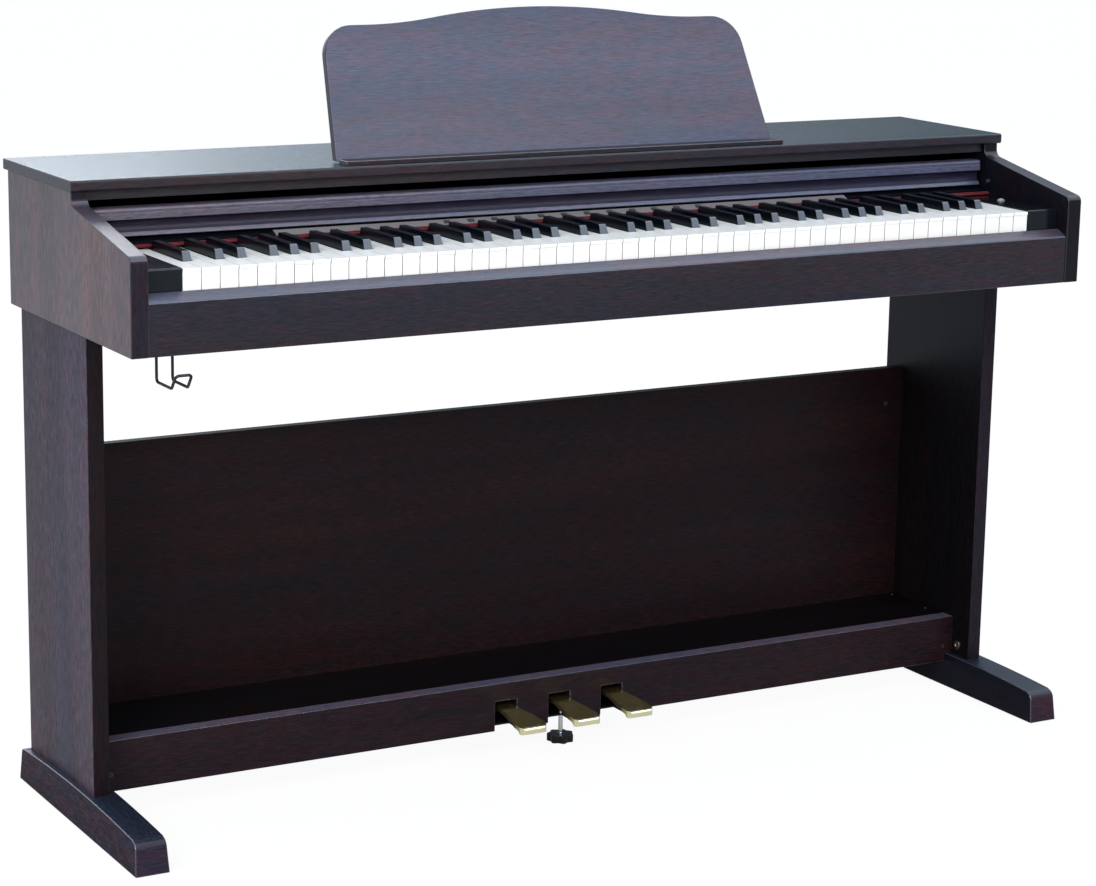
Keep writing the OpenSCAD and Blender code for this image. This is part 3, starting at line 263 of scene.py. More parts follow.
def mixed(tree, how, share, first, second):
    """Two colours mixed by a share of the second, each an output or a plain value."""
    mix = tree.nodes.new("ShaderNodeMix")
    mix.data_type = "RGBA"
    mix.blend_type = how
    for socket, given in ((mix.inputs[0], share), (mix.inputs[6], first), (mix.inputs[7], second)):
        feed(tree, socket, given)
    return mix.outputs[2]


def bumped(tree, shader, height, depth, strength):
    """Relief in a shader's surface: the height's range stands for the depth, and the strength weakens it."""
    bump = tree.nodes.new("ShaderNodeBump")
    bump.inputs["Distance"].default_value = depth
    bump.inputs["Strength"].default_value = strength
    tree.links.new(height, bump.inputs["Height"])
    tree.links.new(bump.outputs[0], shader.inputs["Normal"])


def shade_of(colour, share):
    """A colour with each of its parts multiplied by one share."""
    return tuple(share * c for c in colour)


def rosewood(name, tone, grain, contrast=1.0, roughness=(0.28, 0.42), sheen=0.3, red=0.4, fine=1.0):
    """Printed rosewood film round one tone, in layers drawn out along the grain.

    Broad bands and fine streaks, mixed by their shares, grade the tone from dull to pale, and the contrast
    says how far. Red-brown flecks lie over them. A drift from cool to warm, a mottle and dark pores multiply
    the colour. The red is the strength of flecks and mottle, and a low fine draws the fine layers wider. The
    streaks also set the gloss and a slight relief.
    """
    finish, tree, shader, place = finish_base(name, tone, roughness[0], sheen=sheen)

    def layer(kind, detail, rough=0.5):
        """Noise with one layer's waves. In the fine layers, those across the grain are multiplied by fine."""
        along, across = print_waves[kind]
        if kind in fine_layers:
            across *= fine
        return speckle(tree, place, tuple(along if a == grain else across for a in "xyz"), detail, rough)

    def reddened(*parts):
        """What multiplies the colour: one plus the red times each part."""
        return tuple(1 + red * c for c in parts)

    streaks = layer("streaks", 5.0, 0.75)
    drawn = mixed(tree, "MIX", streak_share, layer("bands", 2.0), streaks)
    colour = graded(tree, drawn, [(0.36, shade_of(tone, 1 - 0.5 * contrast)), (0.5, tone),
                                  (0.64, shade_of(tone, 1 + 0.75 * contrast))])
    flecks = graded(tree, layer("flecks", 3.0), [(0.5, (0, 0, 0)), (0.75, (red, red, red))])
    colour = mixed(tree, "MIX", flecks, colour, tuple(c * r for c, r in zip(tone, red_brown)))
    drift = graded(tree, layer("drift", 2.0), [(0.36, (0.87, 0.97, 1.12)), (0.64, (1.18, 0.96, 0.88))])
    mottle = graded(tree, layer("mottle", 3.0), [(0.4, reddened(-0.35, 0.08, 0.1)),
                                                 (0.6, reddened(0.5, -0.12, -0.1))])
    pores = graded(tree, layer("pores", 3.0), [(0.5, (1, 1, 1)), (0.66, (0.6, 0.6, 0.62))])
    for veil in (drift, mottle, pores):
        colour = mixed(tree, "MULTIPLY", 1.0, colour, veil)
    tree.links.new(colour, shader.inputs["Base Color"])
    tree.links.new(ranged(tree, streaks, to=roughness), shader.inputs["Roughness"])
    bumped(tree, shader, streaks, grain_depth, 0.6)
    return finish


def ease(piece, finish, edge=0.0006, steps=2, corner=32, on_edges=None):
    """A made piece with its film or finish laid on.

    Its doubled points are joined and its level faces made one. Each edge that turns by more than the corner,
    in degrees, is eased by a small round, and the rounds take a finish of their own where one is given.
    """
    join_within, level_within, face_weight = 1e-5, 0.3, 80
    piece = nodes[piece] if isinstance(piece, str) else piece
    piece.data.materials.clear()
    piece.data.materials.append(finish)
    piece.data.polygons.foreach_set("use_smooth", np.ones(len(piece.data.polygons), dtype=bool))
    join = piece.modifiers.new("join", "WELD")
    join.merge_threshold = join_within
    flat = piece.modifiers.new("flat", "DECIMATE")
    flat.decimate_type = "DISSOLVE"
    flat.angle_limit = math.radians(level_within)
    flat.delimit = {"MATERIAL"}
    round_over = piece.modifiers.new("round_over", "BEVEL")
    round_over.width = edge
    round_over.segments = steps
    round_over.limit_method = "ANGLE"
    round_over.angle_limit = math.radians(corner)
    if on_edges:
        piece.data.materials.append(on_edges)
        round_over.material = len(piece.data.materials) - 1
    shade = piece.modifiers.new("shade", "WEIGHTED_NORMAL")
    shade.weight = face_weight
    return piece


def of_faces(piece, what):
    """The middle or the outward direction of each of a piece's faces, one to a row."""
    rows = np.empty(3 * len(piece.data.polygons))
    piece.data.polygons.foreach_get(what, rows)
    return rows.reshape(-1, 3)


def lay_over(piece, film, chosen):
    """One more film, on the chosen faces."""
    piece.data.materials.append(film)
    layer = np.empty(len(piece.data.polygons), dtype=np.int32)
    piece.data.polygons.foreach_get("material_index", layer)
    layer[chosen] = len(piece.data.materials) - 1
    piece.data.polygons.foreach_set("material_index", layer)


def lay_on(piece, film, towards, least=-1.1, most=1.1):
    """One more film on the faces whose outward direction, measured along the given one, is between two
    limits. A limit beyond one leaves its side open."""
    along = of_faces(piece, "normal") @ np.array(towards)
    lay_over(piece, film, (along >= least) & (along <= most))


side_film = rosewood("side_film", (0.049, 0.029, 0.029), "z", contrast=1.5, sheen=0.45, red=0.32, fine=0.3)
# Painted shade: the inner faces take a nearly black copy of the film.
side_inner_shade = rosewood("side_inner_shade", (0.0045, 0.0045, 0.0075), "z", sheen=0.1)
# Painted light and shade: each panel has its own edge and slope tones, paler on the left, where light falls.
side_finish = {
    "left_side_panel": {"inward": 1, "edge": (0.013, 0.010, 0.0155), "slope": (0.039, 0.037, 0.057)},
    "right_side_panel": {"inward": -1, "edge": (0.0058, 0.005, 0.007), "slope": (0.012, 0.011, 0.018)}}
for name, own in side_finish.items():
    side_edge_shade = rosewood(name + "_edge_film", own["edge"], "z", sheen=0.15)
    slope_sheen_and_shade = rosewood(name + "_slope_sheen_and_shade", own["slope"], "y", contrast=0.8, roughness=(0.24, 0.34),
                          sheen=0.45)
    # Painted highlight: the rounds take a paler copy of the edge film.
    rim_highlight = rosewood(name + "_rim_highlight", shade_of(own["edge"], 1.6), "z", contrast=0.6, sheen=0.4)
    panel = ease(name, side_film, edge=0.0013, steps=3, on_edges=rim_highlight)
    lay_on(panel, side_edge_shade, rightwards, least=-square_on, most=square_on)
    lay_on(panel, side_inner_shade, (own["inward"], 0, 0), least=square_on)
    lay_on(panel, slope_sheen_and_shade, upwards, least=0.35)

# ---- Top board -----------------------------------------------------------
# The cabinet's lid lies over the side panels and stands a little past them at the ends and at the back.
# It is wrapped in the same film, with the grain along the keyboard and the front edge rounded.
# Painted sheen: the top's film is tinted cool green-blue for the sky's sheen on it.
top_film = rosewood("top_film", (0.0085, 0.0215, 0.0285), "x", roughness=(0.2, 0.32), sheen=0.34)
top_edge_film = rosewood("top_edge_film", (0.021, 0.017, 0.023), "x", sheen=0.27)
top_board = ease("top_board", top_film, edge=0.0012, steps=3, on_edges=top_edge_film)
lay_on(top_board, top_edge_film, upwards, most=0.7)

# ---- Rail under the top board, key bed and back board --------------------
# Boards between the side panels. The rail under the lid's front edge and the key bed have the cabinet's film.
# The back board is bare pressed board.
inner_film = rosewood("inner_film", (0.020, 0.017, 0.020), "x")
upper_rail_film = rosewood("upper_rail_film", (0.023, 0.020, 0.026), "x", sheen=0.3)
board_edge = 0.0008
ease("upper_front_rail", upper_rail_film, edge=board_edge)
ease("key_bed", inner_film, edge=board_edge)


def hardboard():
    """Pressed brown board with no grain: a fine mottle and a broad cloud grade it from dark to pale."""
    finish, tree, shader, place = finish_base("hardboard", (0.07, 0.045, 0.032), roughness=0.7)
    mottle = speckle(tree, place, (260, 260, 260), 4.0)
    cloud = speckle(tree, place, (7, 7, 7), 2.0)
    tone = mixed(tree, "MIX", 0.4, mottle, cloud)
    colour = graded(tree, tone, [(0.35, (0.045, 0.03, 0.022)), (0.65, (0.095, 0.064, 0.046))])
    tree.links.new(colour, shader.inputs["Base Color"])
    bumped(tree, shader, mottle, 0.0002, 0.4)
    return finish


ease("back_board", hardboard(), edge=board_edge)

# ---- Key slip ------------------------------------------------------------
# The long board below the keys, between the side panels, in the same film.
# Its front edge is rounded and shiny, with a painted highlight along the round.
# Its top slopes up to the keys and is painted pale and cool as a painted sheen.
slip_film = rosewood("slip_film", (0.0165, 0.0135, 0.0185), "x", sheen=0.25)
# Painted sheen: the top strip takes a paler, cooler copy of the slip's film.
slip_top_sheen = rosewood("slip_top_sheen", (0.043, 0.043, 0.066), "x", contrast=0.6, roughness=(0.24, 0.34),
                         sheen=0.6)


def edge_highlight(grain):
    """Film painted pale and shiny along an edge, as a painted highlight on its round."""
    return rosewood("edge_highlight_" + grain, (0.040, 0.037, 0.050), grain, contrast=0.6, roughness=(0.2, 0.3),
                    sheen=0.7)


# Painted highlight: the rounds of long edges take this paler film.
long_edge_highlight = edge_highlight("x")
lay_on(ease("key_slip", slip_film, on_edges=long_edge_highlight), slip_top_sheen, upwards, least=0.3)

# ---- Cheek blocks --------------------------------------------------------
# A block of moulded black plastic fills the space between each side panel and the end key.
# Its face is polished to a satin gloss.


def moulded(name, colour, roughness, sheen=0.3):
    """Moulded plastic or sprayed paint. A fine grain in slight relief makes its colour darker and lighter."""
    finish, tree, shader, place = finish_base(name, colour, roughness, sheen=sheen)
    grain = speckle(tree, place, (900, 900, 900), 2.0)
    tones = graded(tree, grain, [(0.3, shade_of(colour, 0.82)), (0.7, shade_of(colour, 1.2))])
    tree.links.new(tones, shader.inputs["Base Color"])
    bumped(tree, shader, grain, 0.00006, 0.35)
    return finish


cheek_plastic = moulded("cheek_plastic", (0.004, 0.0065, 0.0085), roughness=0.16, sheen=0.22)
for name in ("left_cheek_block", "right_cheek_block"):
    ease(name, cheek_plastic, edge=0.0012, steps=3)

# ---- Control panel -------------------------------------------------------
# A sloping strip of moulded black plastic behind the keys, between the side panels.
# A grey-brown film is stuck on its slope, and a row of small buttons stands up through both.


def printed_film():
    """Satin film with brushed lines: waves that are long along the keyboard and very fine across it."""
    finish, tree, shader, place = finish_base("printed_film", (0.17, 0.155, 0.155), roughness=0.45, sheen=0.3)
    brush = speckle(tree, place, (3, 2400, 2400), 2.0)
    colour = graded(tree, brush, [(0.3, (0.135, 0.122, 0.122)), (0.7, (0.205, 0.188, 0.188))])
    tree.links.new(colour, shader.inputs["Base Color"])
    return finish


panel_plastic = moulded("panel_plastic", (0.0025, 0.0035, 0.005), roughness=0.25, sheen=0.12)
ease("control_panel", panel_plastic, edge=0.0005)
ease("panel_overlay", printed_film(), edge=0.0001, steps=1)
ease("panel_buttons", moulded("button_plastic", (0.04, 0.04, 0.042), roughness=0.4), edge=0.0004)

# ---- Power button --------------------------------------------------------
# A round cap of pale grey plastic in the right cheek block, with a slightly domed top.
# It goes straight down into its well when it is pressed.
head_turns, head_rings = 48, 18
dome_fall, rim_height = 0.34, 0.45
cross_arm, cross_reach, cross_kept = 0.14, 0.6, 0.4
hexagon_reach, hexagon_kept = 0.42, 0.35


def pressed_head(middle, outward, radius, height, recess=None):
    """A low dome on a disc, in rings of points from the middle out to the rim and down to the base.

    The dome falls by a share of its height times the square of the distance from its middle. Where a cross or
    a hexagon is pressed into it, a share of that height is kept.
    """
    around = np.linspace(0, 2 * np.pi, head_turns, endpoint=False)
    rings = np.concatenate([np.linspace(0.06, 0.92, head_rings - 3), [0.98, 1.0, 1.0]])
    out = rings[:, None] * np.ones(head_turns)
    across, along = out * np.cos(around), out * np.sin(around)
    rise = 1 - dome_fall * out ** 2
    rise[-2], rise[-1] = rim_height, 0.0
    if recess == "cross":
        pressed = ((np.minimum(abs(across), abs(along)) < cross_arm)
                   & (np.maximum(abs(across), abs(along)) < cross_reach))
        rise = np.where(pressed, rise * cross_kept, rise)
    elif recess == "hexagon":
        sides = [abs(across * math.cos(t) + along * math.sin(t)) for t in (0, math.pi / 3, 2 * math.pi / 3)]
        rise = np.where(np.maximum.reduce(sides) < hexagon_reach, rise * hexagon_kept, rise)
    outward = np.array(outward, dtype=float)
    first = np.array((0.0, 0.0, 1.0)) if abs(outward[2]) < 0.5 else np.array((0.0, 1.0, 0.0))
    second = np.cross(outward, first)
    points = (np.array(middle) + radius * (across[..., None] * first + along[..., None] * second)
              + height * rise[..., None] * outward).reshape(-1, 3)
    i, j = np.meshgrid(np.arange(head_rings - 1), np.arange(head_turns), indexing="ij")
    k = (j + 1) % head_turns
    corners = [i * head_turns + j, (i + 1) * head_turns + j, (i + 1) * head_turns + k, i * head_turns + k]
    quads = np.stack(corners, axis=-1).reshape(-1, 4)
    last = (head_rings - 1) * head_turns
    return points, quads.tolist() + [list(range(head_turns))[::-1], list(range(last, last + head_turns))]


def closed_piece(name, shells):
    """One object from several closed shells of points and faces, with every face turned outwards."""
    points, faces, start = [], [], 0
    for own_points, own_faces in shells:
        points.append(own_points)
        faces += [[start + v for v in f] for f in own_faces]
        start += len(own_points)
    mesh = bpy.data.meshes.new(name)
    mesh.from_pydata(np.concatenate(points).tolist(), [], faces)
    shell = bmesh.new()
    shell.from_mesh(mesh)
    bmesh.ops.recalc_face_normals(shell, faces=shell.faces)
    shell.to_mesh(mesh)
    shell.free()
    piece = bpy.data.objects.new(name, mesh)
    bpy.context.scene.collection.objects.link(piece)
    return piece


cap_low, cap_high = (np.array(c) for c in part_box("power_button"))
cap_foot = (*((cap_low + cap_high) / 2)[:2], cap_low[2])
cap_r, cap_h = (cap_high[0] - cap_low[0]) / 2, cap_high[2] - cap_low[2]
power_cap = closed_piece("power_cap", [pressed_head(cap_foot, upwards, cap_r, cap_h)])
ease(power_cap, moulded("power_plastic", (0.19, 0.21, 0.21), roughness=0.2, sheen=0.5), edge=0.0002)
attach(power_cap, "power_switch")
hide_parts("power_button")

# ---- Felt strip ----------------------------------------------------------
# Pressed red wool felt, glued along the control panel's front edge.
# It closes the gap just over the keys.


def felt(low_z, high_z):
    """A soft matt nap of crossing fibres, and a painted highlight line half-way up the strip."""
    finish, tree, shader, place = finish_base("felt", (0.12, 0.006, 0.013), roughness=0.95, sheen=0.1)
    nap = speckle(tree, place, (700, 1500, 1500), 4.0, 0.7)
    red = graded(tree, nap, [(0.3, (0.07, 0.003, 0.007)), (0.7, (0.16, 0.009, 0.016))])
    height = tree.nodes.new("ShaderNodeSeparateXYZ")
    tree.links.new(place, height.inputs[0])
    up_strip = ranged(tree, height.outputs["Z"], (low_z, high_z))
    # Painted highlight: a paler line along the middle of the strip.
    painted_highlight_line = graded(tree, up_strip, [(0.35, (0, 0, 0)), (0.5, (0.5, 0.5, 0.5)), (0.65, (0, 0, 0)),
                                     (1.0, (0, 0, 0))])
    tree.links.new(mixed(tree, "MIX", painted_highlight_line, red, (0.30, 0.06, 0.07)), shader.inputs["Base Color"])
    shader.inputs["Sheen Weight"].default_value = 0.15
    bumped(tree, shader, nap, 0.0004, 0.8)
    return finish


felt_low, felt_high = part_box("felt_strip")
ease("felt_strip", felt(felt_low[2], felt_high[2]), edge=0.0005)

# ---- White keys ----------------------------------------------------------
# Moulded white keys, each with a thin polished top plate that stands a little past its front.
# They turn on the steel rod behind them. Their flanks, seen only in the gaps, are grey with painted shade.


def key_plastic(name, colour, roughness, spread, sheen=0.5):
    """Polished key plastic: a broad, barely seen cloud makes its colour darker and lighter by one spread."""
    finish, tree, shader, place = finish_base(name, colour, roughness, sheen=sheen)
    cloud = speckle(tree, place, (45, 18, 45), 2.0)
    tones = graded(tree, cloud, [(0.3, shade_of(colour, 1 - spread)), (0.7, shade_of(colour, 1 + spread))])
    tree.links.new(tones, shader.inputs["Base Color"])
    return finish


white_plastic = key_plastic("white_plastic", (0.915, 0.885, 0.835), roughness=0.22, spread=0.02)
# Painted shade: the flanks take a grey copy of the key plastic, for the shade in the gaps.
white_flank_shade = key_plastic("white_flank_shade", (0.50, 0.48, 0.45), roughness=0.3, spread=0.02)
for note in "cdefgab":
    key = ease("white_keys_" + note, white_plastic)
    for outward in (1, -1):
        lay_on(key, white_flank_shade, (outward, 0, 0), least=square_on)

# ---- Black keys ----------------------------------------------------------
# Satin black caps that narrow towards the top, with rounded shoulders, on the same rod as the white keys.
# Their sloping fronts are painted pale and cool as a painted sheen.
black_plastic = key_plastic("black_plastic", (0.0016, 0.0026, 0.0042), roughness=0.22, spread=0.15,
                            sheen=0.13)
# Painted sheen: the sloping fronts take a paler, bluer copy of the black plastic.
sharp_face = key_plastic("sharp_face", (0.060, 0.068, 0.084), roughness=0.3, spread=0.15)
for note in "cdfga":
    key = ease("black_keys_" + note + "_sharp", black_plastic, edge=0.0009, steps=3, corner=25)
    lay_on(key, sharp_face, forwards, least=0.3, most=0.95)

# ---- Key frame and its rod -----------------------------------------------
# A dark moulded frame on the key bed, with a rail under the keys' fronts and one behind them.
# A plated steel rod runs from ear to ear of the rear rail, and all the keys turn on it.
frame_plastic = moulded("frame_plastic", (0.03, 0.031, 0.034), roughness=0.5)


def steel(name, colour=(0.55, 0.56, 0.57), roughness=0.3):
    """Plated steel with draw lines: waves that are long along X and very fine across it."""
    finish, tree, shader, place = finish_base(name, colour, roughness, metallic=1.0)
    lines = speckle(tree, place, (40, 1400, 1400), 2.0)
    tones = graded(tree, lines, [(0.3, shade_of(colour, 0.85)), (0.7, colour)])
    tree.links.new(tones, shader.inputs["Base Color"])
    return finish


plated = steel("plated_steel")
ease("key_frame", frame_plastic, edge=0.0008)
ease("key_pivot_rod", plated, edge=0.0003)

# ---- Key cover -----------------------------------------------------------
# A board that slides over the keys on nylon shoes in moulded tracks. Its front is a wooden moulding in the
# cabinet's film: a lip below, a hollow for the fingers, and a band with a groove under its rounded top.
# Painted light makes the film pale and cool on the bands, and painted shade makes it dark in the hollow.

# The moulding's outline in millimetres: depth and height from its lower front corner.
cover_lip = [(20.0, 0.0), (1.2, 0.0), (0.0, 1.0), (0.0, 1.6), (3.0, 5.4)]
cover_hollow = [(5.4, 7.2), (6.6, 10.2), (6.9, 13.6), (6.4, 17.2), (4.8, 19.6), (0.5, 20.6)]
cover_band = [(0.0, 21.2), (0.5, 28.2), (1.4, 28.7), (0.9, 29.6), (0.8, 31.6), (1.3, 33.2), (2.5, 34.4),
              (4.4, 35.0), (20.0, 35.0)]
cover_profile = np.array(cover_lip + cover_hollow + cover_band) / 1000
# The hollow's faces, which begin at the lip's last point.
in_hollow = slice(len(cover_lip) - 1, len(cover_lip) + len(cover_hollow) - 1)


def drawn_along(profile, low, high):
    """A closed profile of depths and heights from a box's lower front edge, carried straight along X."""
    n = len(profile)
    points = np.empty((2, n, 3))
    points[:, :, 0] = np.array([low[0], high[0]])[:, None]
    points[:, :, 1:] = profile + np.array(low)[1:]
    i = np.arange(n)
    j = (i + 1) % n
    sides = np.stack([i, j, j + n, i + n], axis=1).tolist()
    return points.reshape(-1, 3), sides + [list(range(n))[::-1], list(range(n, 2 * n))]


# The outline is stretched to the moulding's own depth and height.
cover_low, cover_high = (np.array(c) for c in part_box("cover_moulding"))
cover_profile *= (cover_high - cover_low)[1:] / cover_profile.max(axis=0)
# Painted light and shade: a pale, cool copy of the film on the bands and a dark one in the hollow.
cover_lit_film = rosewood("cover_lit_film", (0.084, 0.083, 0.120), "x", contrast=0.4, roughness=(0.22, 0.34),
                      sheen=0.5, red=0.15)
cover_hollow_shade = rosewood("cover_hollow_shade", (0.015, 0.013, 0.028), "x", contrast=0.7, sheen=0.2,
                             red=0.2)
cover_front = closed_piece("cover_front", [drawn_along(cover_profile, cover_low, cover_high)])
ease(cover_front, cover_lit_film, edge=0.0003)
lay_over(cover_front, cover_hollow_shade, in_hollow)
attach(cover_front, "key_cover")
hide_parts("cover_moulding")
ease("cover_board", inner_film, edge=board_edge)
ease("cover_runners", moulded("nylon", (0.85, 0.83, 0.77), roughness=0.4))
ease("cover_tracks", frame_plastic)

# ---- Music desk and its ledge --------------------------------------------
# A shaped board hinged on the lid, with the grain along its length and its edges rounded.
# The ledge in front of it, glued to the lid, stops the music from sliding off.
# Painted sheen: the desk's film is made pale and cool for the sky's sheen on it.
desk_film_and_sheen = rosewood("desk_film_and_sheen", (0.043, 0.047, 0.081), "x", contrast=0.7, sheen=0.45)
desk_edge_film = rosewood("desk_edge_film", (0.016, 0.014, 0.019), "x", sheen=0.2)
lay_on(ease("music_desk", desk_film_and_sheen, edge=0.0016, steps=3), desk_edge_film, backwards, least=-0.5, most=0.5)
ease("music_ledge", slip_film, edge=0.001, steps=3, on_edges=long_edge_highlight)

# ---- Desk hinges and wire prop -------------------------------------------
# Two pressed steel hinges, each with one leaf on the lid and one on the desk's back.
# A bent wire turns in clips on the desk's back and stands on the lid behind it.
for name in ("desk_hinges", "desk_hinge_leaves"):
    ease(name, plated, edge=0.0002)
ease("desk_prop", steel("prop_wire", (0.42, 0.43, 0.44), roughness=0.35), edge=0.0003)

# ---- Electronics and speakers --------------------------------------------
# Inside the cabinet are the main board and the power supply in its can.
# A speaker stands on the key bed over each painted grille, and a plate on the back board holds the sockets.


def circuit_board():
    """Green solder mask: a paler line wherever a point is near the edge of its square-sided cell."""
    finish, tree, shader, place = finish_base("circuit_board", (0.01, 0.09, 0.045), roughness=0.35)
    cells = tree.nodes.new("ShaderNodeTexVoronoi")
    cells.feature = "DISTANCE_TO_EDGE"
    cells.distance = "CHEBYCHEV"
    cells.inputs["Scale"].default_value = 160
    tree.links.new(place, cells.inputs["Vector"])
    tracks = graded(tree, cells.outputs["Distance"], [(0.02, (0.03, 0.17, 0.08)),
                                                      (0.06, (0.01, 0.09, 0.045))])
    tree.links.new(tracks, shader.inputs["Base Color"])
    return finish


ease("main_board", circuit_board(), edge=0.0002)
ease("power_supply", steel("can_steel", (0.5, 0.51, 0.52), roughness=0.4), edge=0.001)
ease("speakers", frame_plastic)
ease("speaker_grilles", moulded("grille_paint", (0.012, 0.012, 0.013), roughness=0.55), edge=0.0003)
ease("socket_plate", moulded("socket_plastic", (0.02, 0.021, 0.023), roughness=0.45), edge=0.0005)

# ---- Legs ----------------------------------------------------------------
# Chipboard uprights under the cabinet's ends, with upright grain, set into grooves in the feet.
# Painted shade darkens the film on the narrow edges, more on the left leg than the right, and most inside.
leg_film = rosewood("leg_film", (0.032, 0.023, 0.034), "z", contrast=1.7, sheen=0.07, red=0.3, fine=0.3)
# Painted shade: the inner faces take a nearly black copy of the film.
leg_inner_shade = rosewood("leg_inner_shade", (0.0045, 0.0038, 0.0045), "z", contrast=1.2, sheen=0.1)
# Painted shade: each leg has its own edge tone, the left one darker.
leg_finish = {"left_leg": {"inward": 1, "edge": (0.0065, 0.0042, 0.0055)},
              "right_leg": {"inward": -1, "edge": (0.0120, 0.0078, 0.0125)}}
for name, own in leg_finish.items():
    leg_edge_shade = rosewood(name + "_edge_film", own["edge"], "z", contrast=1.2, sheen=0.12)
    leg = ease(name, leg_film, edge=0.0010, steps=3)
    lay_on(leg, leg_edge_shade, rightwards, least=-square_on, most=square_on)
    lay_on(leg, leg_inner_shade, (own["inward"], 0, 0), least=square_on)

# ---- Feet ----------------------------------------------------------------
# Solid runners from front to back, with a slightly arched top, a rounded toe and leaning sides.
# Their film has its grain along them and a bluish painted sheen on top. The rounds take a painted highlight.
# Painted shade makes the inner side, the back and the underside nearly black.
# Painted shade: the inner side, back and underside take this nearly black film.
foot_shade_film = rosewood("foot_shade_film", (0.006, 0.0055, 0.0085), "y", sheen=0.05)
foot_side_film = rosewood("foot_side_film", (0.017, 0.0115, 0.0175), "y", contrast=1.5, sheen=0.02, fine=0.4)
# Painted sheen: the top takes a bluish copy of the film.
foot_top_sheen = rosewood("foot_top_sheen", (0.0085, 0.0125, 0.022), "y", sheen=0.3)
toe_film = rosewood("toe_film", (0.024, 0.0145, 0.024), "x", sheen=0.15)
foot_edge_highlight = edge_highlight("y")
for name, outward in (("left_foot", -1), ("right_foot", 1)):
    foot = ease(name, foot_shade_film, edge=0.0012, steps=3, on_edges=foot_edge_highlight)
    lay_on(foot, foot_side_film, (outward, 0, 0), least=0.8)
    lay_on(foot, foot_top_sheen, upwards, least=0.35)
    lay_on(foot, toe_film, forwards, least=0.8)

# ---- Rear panel, pedal rail and shelf ------------------------------------
# The stand's cross boards between the legs: the wide panel at the back, the rail that the pedals come out of
# and the shelf between the two. The grain runs along all three.
# A painted sheen makes the rail's top the palest,
# and painted shade makes the panel's top and the shelf nearly black.
rear_film = rosewood("rear_film", (0.0104, 0.0058, 0.0068), "x", contrast=1.2, sheen=0.1)
# Painted shade: the rear panel's top takes a nearly black copy.
rear_top_shade = rosewood("rear_top_shade", (0.006, 0.005, 0.006), "x", sheen=0.02)
lay_on(ease("rear_panel", rear_film, edge=board_edge), rear_top_shade, upwards, least=0.7)
rail_film = rosewood("rail_film", (0.0125, 0.0072, 0.0096), "x", sheen=0.12)
# Painted sheen: the rail's top takes a pale, cool copy.
rail_top_sheen = rosewood("rail_top_sheen", (0.090, 0.085, 0.125), "x", contrast=0.7, sheen=0.5)
lay_on(ease("pedal_rail", rail_film, edge=0.0007, on_edges=long_edge_highlight), rail_top_sheen, upwards, least=0.7)
# Painted shade: the shelf is nearly black.
ease("pedal_shelf", rosewood("shelf_shade", (0.004, 0.0035, 0.0042), "x", sheen=0.07), edge=board_edge)

# ---- Screws and bolts of the stand ---------------------------------------
# Cross-head screws go through the rear panel, the rail and the shelf into corner blocks at each end.
# A bolt with a hexagon pressed into its head goes through each leg in front of the rail.
screw_r, screw_h, bolt_r, bolt_h = 0.0035, 0.0012, 0.0065, 0.0022
panel_screw_in, panel_screw_down = 0.029, 0.053
rail_screw_in, rail_screw_up = 0.016, 0.022
shelf_screw_in, shelf_screws_front = 0.010, (0.092, 0.010)
bolt_front, bolt_up = 0.013, 0.026
leg_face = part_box("right_leg")[0][0]
rear_low, rear_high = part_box("rear_panel")
rail_low, rail_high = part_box("pedal_rail")
screw_places = [((leg_face - panel_screw_in, rear_low[1], rear_high[2] - panel_screw_down), forwards),
                ((leg_face - rail_screw_in, rail_low[1], rail_low[2] + rail_screw_up), forwards)]
screw_places += [((leg_face - shelf_screw_in, rear_low[1] - front, rail_high[2]), upwards)
                 for front in shelf_screws_front]
screw_heads, bolt_heads = [], []
for side in (-1, 1):
    for (x, y, z), outward in screw_places:
        screw_heads.append(pressed_head((side * x, y, z), outward, screw_r, screw_h, "cross"))
    bolt_place = (side * leg_face, rail_low[1] - bolt_front, rail_low[2] + bolt_up)
    bolt_heads.append(pressed_head(bolt_place, (-side, 0, 0), bolt_r, bolt_h, "hexagon"))
screw_steel = steel("screw_steel", (0.05, 0.055, 0.055), roughness=0.45)
bolt_steel = steel("bolt_steel", (0.36, 0.30, 0.26), roughness=0.35)
for name, heads, metal in (("screw_heads", screw_heads, screw_steel), ("bolt_heads", bolt_heads, bolt_steel)):
    heads = closed_piece(name, heads)
    ease(heads, metal, edge=0.0001, steps=1, corner=50)
    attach(heads, "cabinet")
    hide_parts("stand_screws")

# ---- Pedal box, rod and springs ------------------------------------------
# A folded and painted steel box behind the rail holds the plated rod on which the pedals turn.
# A wound steel spring stands on its floor under each pedal.
wire_r, spring_turns, spring_steps, wire_sides = 0.0009, 7, 40, 12


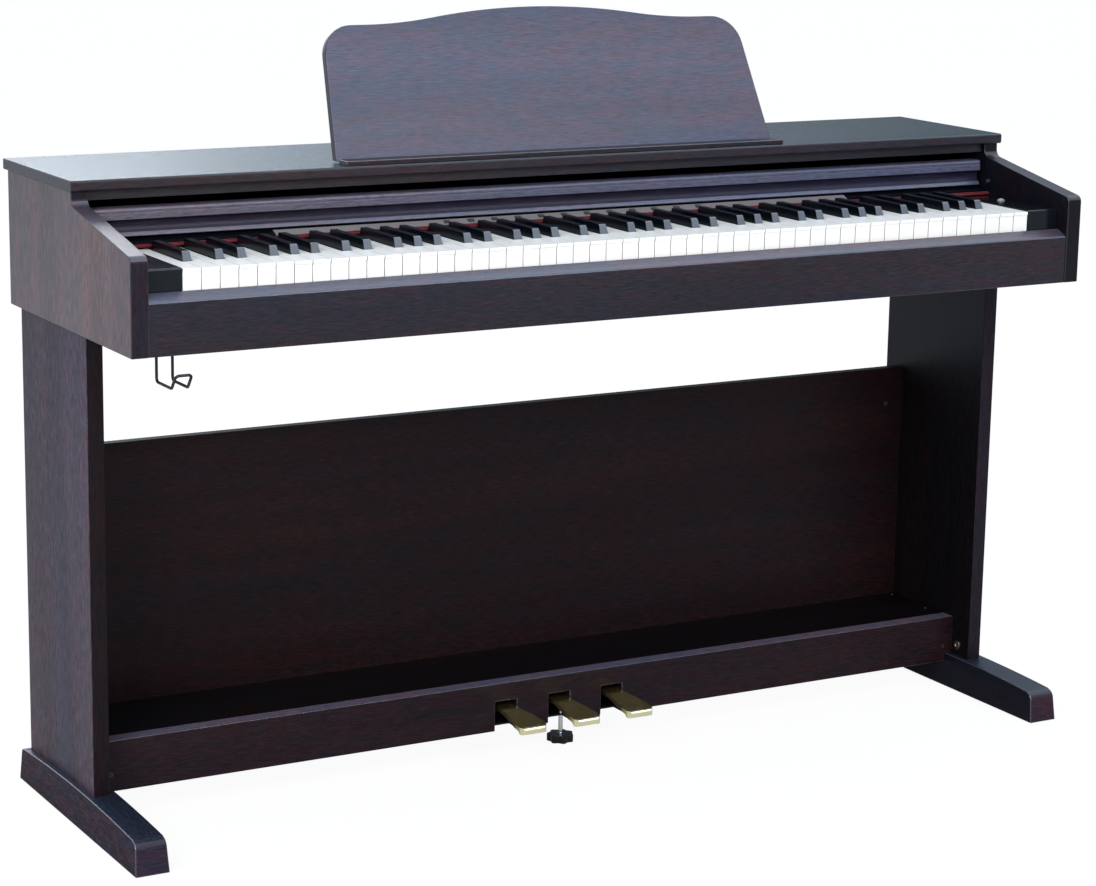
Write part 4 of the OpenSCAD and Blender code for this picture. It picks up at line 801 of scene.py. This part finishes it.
def coil(low, high):
    """A round wire wound upwards, in rings of points across the wire, with a cap at each end.

    The middle of the wire turns at one radius. It climbs one wire's thickness in the first turn and in the
    last, and evenly between them.
    """
    turn = np.linspace(0, spring_turns, spring_turns * spring_steps + 1)
    ends = 2 * wire_r
    climb = np.interp(turn, (0, 1, spring_turns - 1, spring_turns),
                      (wire_r, wire_r + ends, high[2] - low[2] - wire_r - ends, high[2] - low[2] - wire_r))
    around, across = 2 * np.pi * turn, np.linspace(0, 2 * np.pi, wire_sides, endpoint=False)
    middle = (low + high) / 2
    out = (high[0] - low[0]) / 2 - wire_r + wire_r * np.cos(across)[None, :]
    points = np.stack([middle[0] + out * np.cos(around)[:, None], middle[1] + out * np.sin(around)[:, None],
                       low[2] + climb[:, None] + wire_r * np.sin(across)[None, :]], axis=-1).reshape(-1, 3)
    i, j = np.meshgrid(np.arange(len(turn) - 1), np.arange(wire_sides), indexing="ij")
    k = (j + 1) % wire_sides
    corners = [i * wire_sides + j, i * wire_sides + k, (i + 1) * wire_sides + k, (i + 1) * wire_sides + j]
    quads = np.stack(corners, axis=-1).reshape(-1, 4)
    last = (len(turn) - 1) * wire_sides
    return points, quads.tolist() + [list(range(wire_sides))[::-1], list(range(last, last + wire_sides))]


ease("pedal_box", moulded("box_paint", (0.012, 0.012, 0.013), roughness=0.45), edge=0.0005)
ease("pedal_rod", plated, edge=0.0003)
for side in ("left", "middle", "right"):
    spring_low, spring_high = (np.array(c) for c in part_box(side + "_pedal_spring"))
    spring = closed_piece(side + "_coil", [coil(spring_low, spring_high)])
    spring.data.materials.append(plated)
    spring.data.polygons.foreach_set("use_smooth", np.ones(len(spring.data.polygons), dtype=bool))
    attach(spring, "cabinet")
    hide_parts(side + "_pedal_spring")
    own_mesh(spring)

# ---- Pedals --------------------------------------------------------------
# Polished brass levers that turn on the rod, narrow at the rail and wider towards the tip.
# The tip ends in a nose turned down. The nose and the rounded edges are paler as a painted highlight.


def brass(name, low, high, roughness):
    """Polished brass: a small cloud grades it from a duller tone to a brighter one."""
    finish, tree, shader, place = finish_base(name, high, roughness, metallic=1.0)
    cloud = speckle(tree, place, (60, 60, 60))
    tree.links.new(graded(tree, cloud, [(0.3, low), (0.7, high)]), shader.inputs["Base Color"])
    return finish


pedal_brass = brass("pedal_brass", (0.88, 0.75, 0.26), (1.0, 0.90, 0.40), roughness=0.26)
# Painted highlight: a paler, smoother brass on the nose and the rounds.
nose_highlight_brass = brass("nose_highlight_brass", (0.95, 0.86, 0.50), (1.0, 0.93, 0.62), roughness=0.1)
for side in ("left", "middle", "right"):
    pedal = ease(side + "_pedal", pedal_brass, edge=0.0012, steps=3, on_edges=nose_highlight_brass)
    lay_on(pedal, nose_highlight_brass, forwards, least=0.25)

# ---- Pedal adjuster ------------------------------------------------------
# A black plastic knob with finger hollows, on a steel rod that goes up through the pedal box's floor.
# It is turned down against the floor, so that the rail can't bow under the foot.
above_knob = 0.0115
knob_plastic = moulded("knob_plastic", (0.004, 0.005, 0.006), roughness=0.35)
rod_steel = steel("rod_steel", (0.78, 0.80, 0.84), roughness=0.18)
adjuster = ease("pedal_adjuster", knob_plastic, edge=0.0010, steps=3)
lay_over(adjuster, rod_steel, of_faces(adjuster, "center")[:, 2] >= above_knob)

# ---- Headphone hook ------------------------------------------------------
# A wire loop on a small plate under the key bed, all painted black.
# Its two sides drop from the plate, run forwards and rise at the tip, so that headphones can't slide off.
ease("headphone_hook", moulded("hook_paint", (0.008, 0.009, 0.010), roughness=0.35), edge=0.0003)
